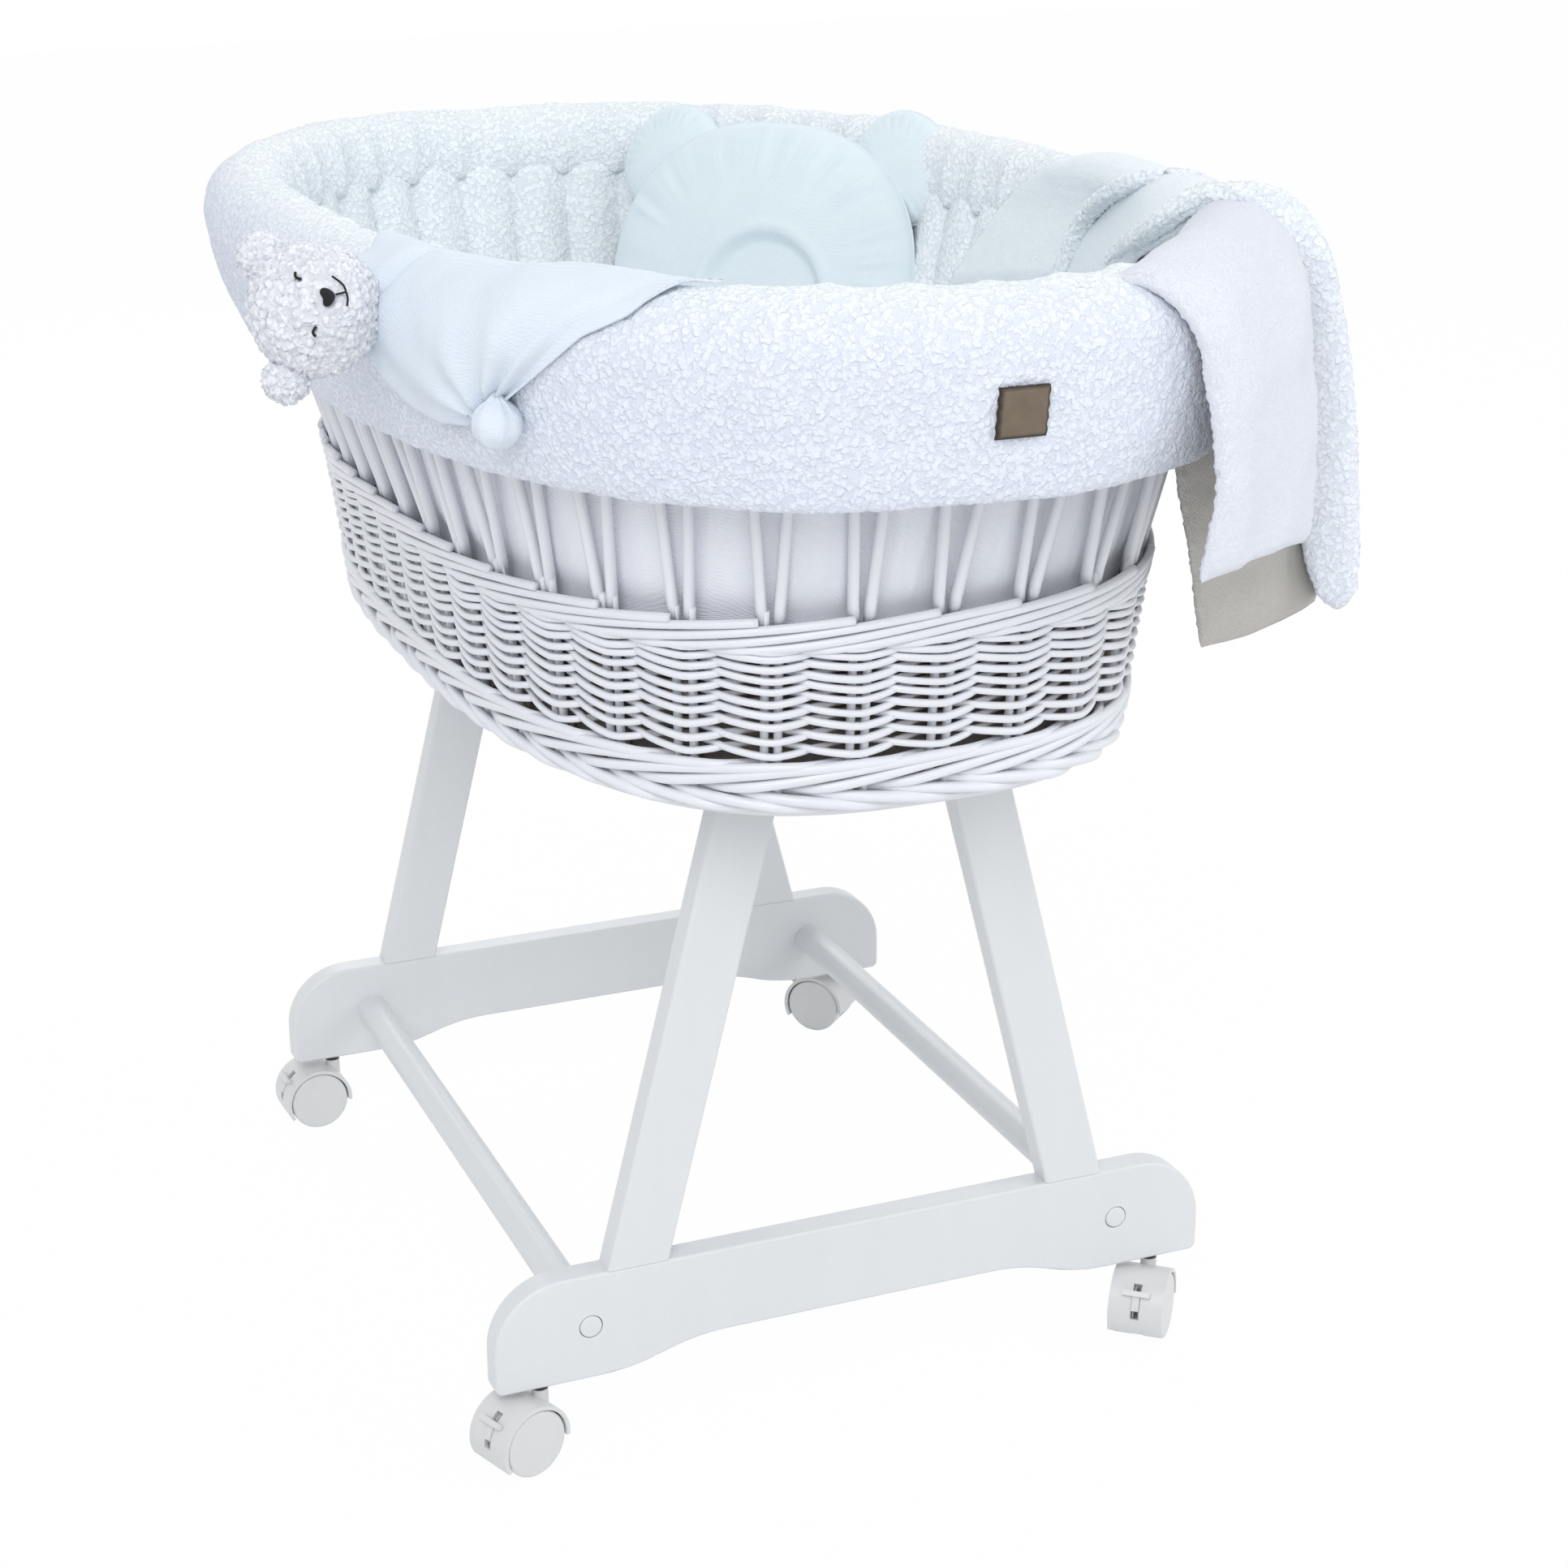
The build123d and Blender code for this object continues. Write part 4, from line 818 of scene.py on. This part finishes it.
PILLOW_HALF_W, PILLOW_HALF_H, PILLOW_POWER, PILLOW_THICK = 125.5, 116.0, 2.3, 50.0
PILLOW_LEAN, PILLOW_ANGLE, PILLOW_STANDOFF, PILLOW_FACING = 17.0, 60.5, 66.0, 217.0
PILLOW_SHIFT = 3.5
DISH_R, DISH_SHIFT, DISH_DROP, DISH_DEPTH = 50.0, 15.0, 16.0, 7.0
EAR_HALF_W, EAR_HALF_H, EAR_POWER, EAR_THICK, EAR_TILT = 42.0, 38.0, 2.1, 25.0, 40.0
PIPING_R = 1.1


def pillow_place():
    """Where the pillow leans against the bumper, as a matrix."""
    z = MATTRESS_TOP + 0.4 + PILLOW_HALF_H * cos(radians(PILLOW_LEAN)) + PILLOW_THICK / 5
    angle = radians(PILLOW_ANGLE)
    spot = on_wall(angle, z, -BUMPER_IN) - PILLOW_STANDOFF * np.array([cos(angle), sin(angle), 0])
    turned = Matrix.Rotation(radians(PILLOW_FACING + 90), 4, "Z")
    return Matrix.Translation(Vector(spot)) @ turned @ Matrix.Rotation(radians(90 - PILLOW_LEAN), 4, "X")


def cushion(mesh, half_w, half_h, power, thick, place, rings, cols, dished=False):
    """Two-sided stuffed form: full in the middle, drawn in and puckered along its piped edge."""
    place = np.array(place)
    turn_to, move_to = place[:3, :3].T, place[:3, 3]
    turn = turns(cols)
    share = np.sin(np.linspace(0.012, 1, rings) * pi / 2)[:, None]
    x, y = [share * v for v in polar(half_w, half_h, power, turn)]
    body = np.maximum(1 - share ** 2.5, 0) ** 0.52
    for face in (1, -1):
        pucker = 2.4 * ring_noise(turn, 9, face * 3.1) + 1.6 * ring_noise(turn, 21, face * 7.7)
        z = face * (0.5 * thick * body + pucker * smooth(share, 0.55, 0.9) * (1 - share ** 9))
        if dished and face == 1:
            away = np.hypot(x - DISH_SHIFT, y + DISH_DROP)
            z = z - DISH_DEPTH * smooth(away, DISH_R + 1.0, DISH_R - 6.0)
            z = z - 1.6 * ridge(away, DISH_R - 1.0, 1.8) + 1.6 * ridge(away, DISH_R + 6.0, 4.0)
        points = np.stack([x, y, z], -1)
        points[..., 2] += wobble(points, 40.0, 11.0) * (1 - share ** 6)
        mesh.add(points @ turn_to + move_to, tube_faces(rings, cols, flip=face == -1, last=False))
    turn = turns(cols * 2)
    seam = at_height(*polar(half_w, half_h, power, turn), 0.0)
    outward = at_height(np.cos(turn), np.sin(turn), 0.0)
    add_rod(mesh, seam @ turn_to + move_to, PIPING_R, outward @ turn_to, 6, closed=True)


def make_pillow():
    """Round pillow with a dish for the head and two ears."""
    place = pillow_place()
    mesh = Mesh()
    middle = place @ Matrix.Translation((PILLOW_SHIFT, 0, 0))
    cushion(mesh, PILLOW_HALF_W, PILLOW_HALF_H, PILLOW_POWER, PILLOW_THICK, middle, 90, 300, dished=True)
    piece = mesh.piece("bear_pillow", [PERCALE], "pillow", "pillow_cotton", ["pillow"])
    ears = Mesh()
    for side in (-1, 1):
        move = Matrix.Translation((side * 97.0 + 5.0, 89.0 + 3.0 * side, -12.0))
        tilt = Matrix.Rotation(radians(-EAR_TILT * side), 4, "Z")
        cushion(ears, EAR_HALF_W, EAR_HALF_H, EAR_POWER, EAR_THICK, place @ move @ tilt, 24, 110)
    piece = ears.piece("pillow_bear_ears", [PERCALE], "pillow", "pillow_cotton", ["pillow_ears"])


# Blanket

# Layers of the folded throw: the left, middle and right line of each, from the inside over the rim
FRONT_PANEL = (
    [(58, -384, 690), (62, -398, 716), (68, -424, 735), (84, -441, 731), (97, -451, 718),
     (107, -457, 699), (115, -457, 672), (123, -456, 640), (124, -456, 614), (119, -456, 586),
     (117, -455, 565)],
    [(124, -340, 694), (132, -350, 724), (148, -370, 742), (164, -388, 737), (174, -402, 718),
     (180, -408, 690), (180, -412, 655), (179, -414, 620), (178, -414, 590), (177, -412, 562)],
    [(192, -262, 700), (202, -257, 727), (220, -262, 742), (238, -282, 741), (248, -306, 726),
     (247, -330, 700), (242, -347, 668), (240, -357, 630), (239, -361, 590), (238, -361, 553)],
)
MIDDLE_LAYER = (
    [(204, -165, 675), (203, -190, 692), (198, -222, 705), (197, -246, 717), (204, -261, 728),
     (216, -270, 734), (233, -279, 734), (250, -291, 724), (263, -301, 704), (275, -306, 660),
     (283, -308, 600), (289, -309, 498)],
    [(210, -116, 664), (211, -132, 683), (211, -152, 700), (211, -174, 716), (213, -192, 733),
     (224, -209, 743), (242, -221, 743), (262, -233, 733), (278, -244, 709), (290, -250, 670),
     (299, -252, 600), (303, -252, 498)],
    [(212, -70, 652), (218, -78, 672), (222, -88, 691), (225, -108, 708), (222, -134, 723),
     (218, -163, 735), (234, -178, 740), (258, -185, 736), (284, -190, 712), (296, -192, 680),
     (301, -192, 600), (301, -192, 500)],
)
INNER_LAYER = (
    [(208, -87, 660), (213, -92, 676), (217, -98, 690), (220, -109, 706), (217, -133, 721),
     (211, -168, 735), (223, -187, 743), (246, -192, 741), (270, -196, 728), (290, -198, 703),
     (300, -200, 660), (304, -200, 596)],
    [(205, -10, 647), (211, -19, 666), (216, -30, 683), (221, -43, 700), (221, -67, 716),
     (218, -100, 733), (224, -124, 744), (246, -134, 744), (270, -140, 732), (291, -143, 704),
     (302, -146, 660), (307, -148, 594)],
    [(201, 67, 634), (208, 54, 656), (216, 39, 678), (222, 22, 696), (224, -1, 712), (226, -36, 731),
     (245, -60, 741), (262, -75, 740), (282, -84, 727), (297, -88, 700), (305, -91, 660),
     (307, -94, 598)],
)
BACK_HANG = (
    [(150, -356, 650), (158, -338, 604), (171, -334, 562), (181, -332, 522), (190, -330, 487)],
    [(214, -336, 690), (228, -326, 640), (236, -316, 580), (242, -312, 530), (247, -308, 487)],
    [(258, -288, 712), (274, -288, 650), (283, -288, 590), (289, -288, 540), (293, -289, 493)],
)
# Turned-back edges: the middle line of each with its half width and half depth there
SIDE_FOLD = [
    (207, -160, 682, 5, 5), (206, -184, 699, 6, 5), (199, -216, 710, 6.5, 6), (194, -244, 721, 7, 6),
    (201, -258, 732, 7.5, 6), (211, -265, 739, 8, 6.5), (223, -275, 742, 8.5, 6.5),
    (234, -286, 740, 10, 6.5), (243, -298, 734, 11.5, 7), (249, -306, 722, 13, 7),
    (254, -309, 707, 15.5, 7.5), (259.5, -309, 686, 17, 7.5), (266, -309, 655, 18.5, 8),
    (272.5, -311, 610, 19, 8), (277, -312, 565, 18.5, 8), (280, -313.5, 535, 17.5, 8),
    (284, -315.5, 512, 13, 7.5), (286, -316.5, 497, 9.5, 6.5)]
INNER_EDGE = [
    (208, -88, 658, 4, 4), (212, -93, 674, 5, 5), (216, -99, 689, 6, 5), (218, -110, 705, 6.5, 5),
    (215, -134, 719, 6.5, 5), (211, -168, 732, 6.5, 5), (223, -187, 740, 6.5, 5),
    (245, -192, 738, 6.5, 5), (268, -197, 725, 6.5, 5), (287, -199, 701, 6, 5), (297, -201, 660, 6, 5),
    (301, -201, 597, 5, 4.5)]
# Level direction across the turned-back edges
EDGE_SIDE = np.array([0.925, -0.38, 0.0])
PLUSH_FACE, CURLY_FACE, SMOOTH_FACE = 0, 1, 2
PLUSH_NAP, CURLY_NAP, EDGE_NAP = 0.4, 2.0, 2.2


def layer(lines, rows, across):
    """Smooth surface through three lines, at places across it from -1 to 1."""
    at = np.linspace(0, 1, rows)
    grid = []
    for line in lines:
        line = resample(line, 1.0, 3)
        t = np.linspace(0, 1, len(line))
        grid.append(np.stack([np.interp(at, t, line[:, k]) for k in range(3)], -1)[:, None])
    first, middle, last = grid
    w = across[None, :, None]
    return 0.5 * (1 - w) * first + 0.5 * (1 + w) * last + (1 - w ** 2) * (middle - 0.5 * (first + last))


def add_layer(mesh, lines, thick, rows, around, kinds, waves, fold=0.0, shade=0.0):
    """Closed soft layer with rounded edges, made of kinds at its face, edges and back. Gives its area."""
    turn = turns(around)
    w, h = signed_power(np.cos(turn), 0.5), signed_power(np.sin(turn), 0.5)
    middle = layer(lines, rows, w)
    nearest = np.clip((w + 1) / 2 * (around - 1), 0, around - 1).astype(int)
    normal = -grid_normals(layer(lines, rows, np.linspace(-1, 1, around)))[:, nearest]
    run = np.linspace(0, 1, rows)[:, None]
    ends = np.sqrt(np.clip(np.minimum(run, 1 - run) * rows / 4.0, 0, 1))
    swell = waves * wobble(middle, 42.0, 8.0) + 0.35 * waves * wobble(middle, 17.0, 1.0)
    valley = 0.8 * ridge(w, -0.7, 0.3) - ridge(w, -0.1, 0.34) + 0.5 * ridge(w, 0.5, 0.3)
    swell = swell + fold * valley * smooth(run, 0.3, 0.55) * smooth(run, 1.0, 0.85)
    points = middle + normal * (0.5 * thick * (h * ends - 1) + swell)[..., None]
    middle = middle - 0.5 * thick * normal
    outward = unit(points - middle + 1e-6 * normal)
    edge = smooth(np.abs(w), 0.86, 0.97)
    facing = np.where(h < 0, kinds[2], kinds[0])
    nap = np.where(facing == CURLY_FACE, CURLY_NAP, PLUSH_NAP) * (1 - edge) + EDGE_NAP * edge
    points = points + outward * ((curls(points, 5.0) - 0.6) * nap * ends)[..., None]
    kind = np.tile(np.where(edge > 0.5, kinds[1], np.where(h > 0, kinds[0], kinds[2])), rows - 1)
    # The shade value gives the share of the lighter painted inside light of the pile materials.
    mesh.add(points, tube_faces(rows, around), shade, kind.tolist() + [kinds[1], kinds[1]])
    return grid_area(middle[:, : around // 2])


def add_turned_edge(mesh, keys):
    """Edge of the throw turned back on itself, curly side out. Gives its area."""
    line = resample(keys, 1.8, 3)
    path, wide, deep = line[:, :3], line[:, 3:4], line[:, 4:]
    turn = turns(44)
    along = unit(np.gradient(path, axis=0))
    across = unit(EDGE_SIDE - (along @ EDGE_SIDE)[:, None] * along)
    out = np.cross(along, across)
    step = np.arange(len(path))
    ends = np.sqrt(np.clip(np.minimum(step, step[::-1]) / 6.0, 0.02, 1))[:, None]
    side = ends * wide * signed_power(np.cos(turn), 0.65)
    rise = ends * deep * signed_power(np.sin(turn), 0.65)
    points = path[:, None] + side[..., None] * across[:, None] + rise[..., None] * out[:, None]
    points = points + unit(points - path[:, None]) * ((curls(points, 4.6) - 0.6) * 1.9)[..., None]
    # Inside the rim the edge takes the lighter painted inside light, outside it only a little.
    inside = smooth(np.linspace(0, 1, len(path)), 0.55, 0.3)
    mesh.add(points, tube_faces(*points.shape[:2]), np.repeat(0.3 + 0.7 * inside, len(turn)), CURLY_FACE)
    return (np.linalg.norm(np.diff(path, axis=0), axis=1) * 2.6 * wide[1:, 0]).sum()


def make_blanket():
    """Plush throw with a curly back, folded and hung over the right side of the rim."""
    mesh = Mesh()
    edged = (PLUSH_FACE, CURLY_FACE, SMOOTH_FACE)
    # Shade values give each layer's share of the lighter painted inside light, most for the layers inside
    # the rim.
    area = add_layer(mesh, FRONT_PANEL, 14.0, 150, 90, (PLUSH_FACE, PLUSH_FACE, SMOOTH_FACE), 3.0, fold=2.6)
    area += add_layer(mesh, MIDDLE_LAYER, 11.0, 150, 80, edged, 1.6, shade=0.9)
    area += add_layer(mesh, INNER_LAYER, 13.0, 120, 90, edged, 1.6, shade=1.0)
    # The back hang shows its smooth back in the darker beige of painted shade.
    area += add_layer(mesh, BACK_HANG, 9.0, 70, 80, (SMOOTH_FACE, SMOOTH_FACE, CURLY_FACE), 4.0, shade=0.3)
    area += add_turned_edge(mesh, SIDE_FOLD) + add_turned_edge(mesh, INNER_EDGE)
    piece = mesh.piece("plush_blanket", [PLUSH, SHERPA, SHADED_UNDERSIDE], "blanket", "blanket_plush", ["blanket"])


# Comforter toy

TOY_ANGLE, TOY_OUT, TOY_LIFT = radians(217.0), 40.6, 3.0
CUFF_BULGE = (29.0, 33.0)
HEAD_R, EAR_R, EAR_OUT = 36.4, 13.6, 40.0
HEAD_EARS = ((-0.57, 0.48, 0.66), (-0.45, -0.05, -0.89))
# Directions on the head as it lies: towards the viewer, along its nose line and across
FACE_OUT = unit(np.array([-0.03, -0.945, 0.325]))
FACE_UP = unit(np.array([-0.97, 0.11, -0.22]))
FACE_UP = unit(FACE_UP - (FACE_UP @ FACE_OUT) * FACE_OUT)
FACE_SIDE = np.cross(FACE_UP, FACE_OUT)
# Face, in degrees to the side and up from the nose line
NOSE = [(0, 4.5), (6, 6), (7.5, 1), (0, -6), (-7.5, 1), (-6, 6), (0, 4.5)]
MOUTH = ([(0, -13.5), (5, -13.5), (9, -11), (14, -7)], [(0, -13.5), (-5, -13.5), (-10, -11)])
LIP = [(0, -5), (0, -9), (0, -13.5)]
MOUTH_THREAD_R, EYE_THREAD_R = 0.6, 0.8
# Cloth: its first and last angle, its section over the roll, and its lower edge along the rim
CLOTH_FROM, CLOTH_TO = 216.2, 251.0
CLOTH_SECTION = [(0, 0, 26.5), (6, 6, 27), (17, 18, 22.5), (26, 29, 13), (31, 35, -2), (30.5, 34.5, -16),
                 (24, 32, -38), (16, 28, -58), (9, 24, -72)]
CLOTH_EDGE_AT = (0, 0.05, 0.13, 0.22, 0.33, 0.47, 0.60, 0.72, 0.85, 1.0)
CLOTH_EDGE_Z = (700, 684, 661, 652, 649, 655, 681, 706, 721, 728)
CLOTH_THICK = 1.6
KNOT_ANGLE, KNOT_R, KNOT_DROP = radians(234.0), 13.0, 48.0


def face_dir(side, up):
    """Direction on the head for degrees to the side and up from the nose line."""
    a, b = radians(side), radians(up)
    return cos(b) * (cos(a) * FACE_OUT + sin(a) * FACE_SIDE) + sin(b) * FACE_UP


def curly_ball(mesh, centre, radius, pile_size, height, rows, cols, bump=None):
    """Ball of curly pile; bump gives its size in each direction."""
    d = ball_directions(rows, cols, 0.02)[0]
    size = 1.0 if bump is None else bump(d)[..., None]
    points = centre + d * (radius * size)
    points = points + d * ((curls(points, pile_size) - 0.75) * height)[..., None]
    mesh.add(points, tube_faces(rows, cols, flip=True))


def make_toy_head():
    """Bear's head that hangs over the cuff, with its ears and its sewn face."""
    centre = cuff_point(TOY_ANGLE, *CUFF_BULGE, RIM_Z - 2.0)
    centre = centre + np.array([TOY_OUT * cos(TOY_ANGLE), TOY_OUT * sin(TOY_ANGLE), TOY_LIFT])
    muzzle = face_dir(0, -6)

    def bump(d):
        near = (d * muzzle).sum(-1)
        return 1.0 + 0.10 * smooth(near, 0.72, 0.97) - 0.02 * smooth(near, 0.3, 0.6)

    mesh = Mesh()
    curly_ball(mesh, centre, HEAD_R, 5.0, 3.4, 90, 150, bump)
    piece = mesh.piece("toy_bear_head", [TOY_CURLS], "toy", "toy_plush", ["toy_head"])
    ears = Mesh()
    for direction in HEAD_EARS:
        curly_ball(ears, centre + unit(np.array(direction)) * EAR_OUT, EAR_R, 4.2, 3.2, 44, 70)
    piece = ears.piece("toy_bear_ears", [TOY_CURLS], "toy", "toy_plush", ["toy_ears"])
    make_toy_face(centre)


def stitched(mesh, centre, track, radius, lift):
    """Thread sewn along directions on the head."""
    path = np.array([centre + face_dir(s, u) * HEAD_R * lift for s, u in track])
    add_rod(mesh, resample(path, 0.7, 2), radius, FACE_OUT, 6)


def make_toy_face(centre):
    """Sewn nose, mouth and closed eyes."""
    mesh = Mesh()
    rim = np.array([face_dir(s, u) for s, u in resample(NOSE, 0.8, 2)])
    rows = [centre + HEAD_R * 1.06 * rim]
    for k in (1.0, 0.75, 0.4, 0.05):
        rows.append(centre + HEAD_R * (1.135 + 0.03 * (1 - k)) * unit(rim * k + (1 - k) * FACE_OUT))
    mesh.add(np.array(rows), tube_faces(len(rows), len(rim), first=False))
    stitched(mesh, centre, LIP, MOUTH_THREAD_R, 1.125)
    for half in MOUTH:
        stitched(mesh, centre, half, MOUTH_THREAD_R, 1.12)
    for side in (-1, 1):
        stitched(mesh, centre, [(side * 20, 15), (side * 24, 19), (side * 28, 17)], EYE_THREAD_R, 1.05)
    mesh.piece("toy_face_stitching", [STITCH], "toy", "toy_plush")


def make_toy_cloth():
    """Muslin body on the roll, gathered at the neck and the knot; its lower edge rises from the head."""
    cols, rows = 150, 70
    along, down = np.linspace(0, 1, cols), np.linspace(0, 1, rows)[:, None]
    low = RIM_Z - np.interp(along, CLOTH_EDGE_AT, CLOTH_EDGE_Z)
    section = resample(CLOTH_SECTION, 1.5, 2)
    run = length_along(section[:, [0, 2]])
    reach = np.interp(low, -section[6:, 2], run[6:]) * (1 - 0.93 * smooth(along, 0.8, 1.0))
    side, end, up = [np.interp(down * reach, run, section[:, k]) for k in range(3)]
    points = cuff_point(np.radians(np.linspace(CLOTH_FROM, CLOTH_TO, cols)), side, end, RIM_Z + up)
    normal = grid_normals(points)
    normal *= np.sign((normal[..., :2] * points[..., :2]).sum(-1, keepdims=True) + 150 * normal[..., 2:])
    neck = 2.8 * np.sin(3.6 * (down - 0.42) / (along + 0.10) + 0.8) * np.exp(-5.0 * along)
    knot_u, knot_v = (along - 0.49) * 2.2, down - 0.97
    pull = 4.4 * np.sin(9 * np.arctan2(knot_v, knot_u)) * np.exp(-2.6 * np.hypot(knot_u, knot_v))
    collar = 5.5 * ridge(along, 0.27 - 0.26 * down, 0.02) * smooth(down, 0.6, 0.3)
    full = 10.5 * np.sin(pi * down) ** 0.7 * smooth(along, 0.95, 0.3)
    drape = 2.8 * np.sin(9 * along + 4 * down + 0.6) * smooth(along, 0.05, 0.3) * smooth(along, 1.0, 0.8)
    free = smooth(along, 0.0, 0.07) * smooth(down, 0.0, 0.10)
    lift = 1.8 + free * (1.4 + full + neck + pull + drape + wobble(points, 15.0, 6.0) - collar)
    top = points + normal * np.maximum(lift, CLOTH_THICK + 1.0)[..., None]
    back = points + normal * np.maximum(lift - CLOTH_THICK, 1.0)[..., None]
    mesh = Mesh()
    add_two_sided(mesh, top, back)
    piece = mesh.piece("muslin_body", [MUSLIN], "toy", "toy_muslin", ["toy_cloth"])


def make_toy_knot():
    """Round knot at the corner of the cloth, gathered towards its top."""
    centre = cuff_point(KNOT_ANGLE, 31.4, 42.4, RIM_Z - KNOT_DROP)
    d, turn, fall = ball_directions(50, 90, 0.03)
    gather = 1 + 0.05 * np.sin(turn * 11) * np.exp(-2.2 * fall) + 0.03 * np.sin(turn * 7 + 1) * np.sin(fall)
    points = centre + d * (KNOT_R * gather * (1 + 0.22 * ridge(fall, 0.0, 0.3)))[..., None]
    points = points + d * (0.7 * wobble(points, 7.0, 4.0))[..., None]
    mesh = Mesh()
    mesh.add(points, tube_faces(50, 90, flip=True))
    piece = mesh.piece("muslin_knot", [MUSLIN], "toy", "toy_muslin", ["toy_knot"])


# Room and camera, in metres

FLOOR_HALF, FLOOR_GLOW = 9.0, 0.975
WORLD_STRENGTH = 0.78
# Lamps: place, what each points at, size and watts
LAMPS = {
    "key": ((-1.6, -3.0, 3.0), (0, 0, 0.5), 2.6, 64.0),
    "fill": ((2.6, -1.6, 1.8), (0, 0, 0.5), 2.4, 22.0),
    "back": ((0.6, 3.0, 2.4), (0, 0, 0.6), 2.4, 26.0),
}
CAMERA_SPOT, CAMERA_TARGET = (-0.6557, -1.7367, 0.9804), (0.1063, 0.1195, 0.2687)
CAMERA_ROLL = radians(-0.27)
SENSOR = 36.0
# Focal length over the width of the picture
FOCAL_SHARE = 3579.0 / 1932.0


def show_instead(tree, output, lit, seen, share):
    """Let a surface light the scene as one shader and be seen directly as another."""
    net = Net(tree)
    path = net.node("ShaderNodeLightPath").outputs
    looked_at = net.math("MAXIMUM", path["Is Camera Ray"],
                         net.math("MAXIMUM", path["Is Glossy Ray"], path["Is Transmission Ray"]))
    factor = net.math("MULTIPLY", looked_at, share)
    blend = net.node("ShaderNodeMixShader", {0: factor, 1: lit.outputs[0], 2: seen.outputs[0]})
    net.node(output, {"Surface": blend.outputs[0]})


def make_floor():
    mesh = bpy.data.meshes.new("floor")
    corners = [(x * FLOOR_HALF, y * FLOOR_HALF, 0) for x, y in ((-1, -1), (1, -1), (1, 1), (-1, 1))]
    mesh.from_pydata(corners, [], [(0, 1, 2, 3)])
    mat = bpy.data.materials.new("pale floor")
    mat.use_nodes = True
    mat.node_tree.nodes.clear()
    net = Net(mat.node_tree)
    plain = net.node("ShaderNodeBsdfDiffuse", {"Color": rgb(0.86, 0.86, 0.86)})
    glow = net.node("ShaderNodeEmission", {"Color": rgb(1, 1, 1)})
    show_instead(mat.node_tree, "ShaderNodeOutputMaterial", plain, glow, FLOOR_GLOW)
    mesh.materials.append(mat)
    floor = link("floor", mesh)


def make_world():
    world = bpy.data.worlds.new("studio")
    world.use_nodes = True
    bpy.context.scene.world = world
    world.node_tree.nodes.clear()
    net = Net(world.node_tree)
    light = net.node("ShaderNodeBackground", {"Color": rgb(0.97, 0.985, 1.0), "Strength": WORLD_STRENGTH})
    white = net.node("ShaderNodeBackground", {"Color": rgb(1, 1, 1)})
    show_instead(world.node_tree, "ShaderNodeOutputWorld", light, white, 1.0)


def facing(spot, target):
    return (Vector(target) - Vector(spot)).to_track_quat("-Z", "Y")


def make_lamps():
    for name, (spot, target, size, power) in LAMPS.items():
        lamp = bpy.data.lights.new(name, "AREA")
        lamp.shape, lamp.size, lamp.energy = "DISK", size, power
        obj = link(name, lamp)
        obj.location = spot
        obj.rotation_euler = facing(spot, target).to_euler()


def make_camera():
    data = bpy.data.cameras.new("camera")
    data.sensor_width, data.lens = SENSOR, FOCAL_SHARE * SENSOR
    camera = link("camera", data)
    look = facing(CAMERA_SPOT, CAMERA_TARGET).to_matrix().to_4x4()
    roll = Matrix.Rotation(CAMERA_ROLL, 4, "Z")
    camera.matrix_world = Matrix.Translation(CAMERA_SPOT) @ look @ roll
    bpy.context.scene.camera = camera


bpy.context.scene.view_settings.view_transform = "Standard"
for make in (make_world, make_floor, make_lamps, make_camera, dress, make_caps, make_woven_band,
             make_upper_wale, make_foot_border, make_stakes, make_woven_base, make_cuff, make_bumper,
             make_bag, make_mattress, make_patch, make_pillow, make_blanket, make_toy_head, make_toy_cloth,
             make_toy_knot):
    make()

bpy.context.view_layer.update()
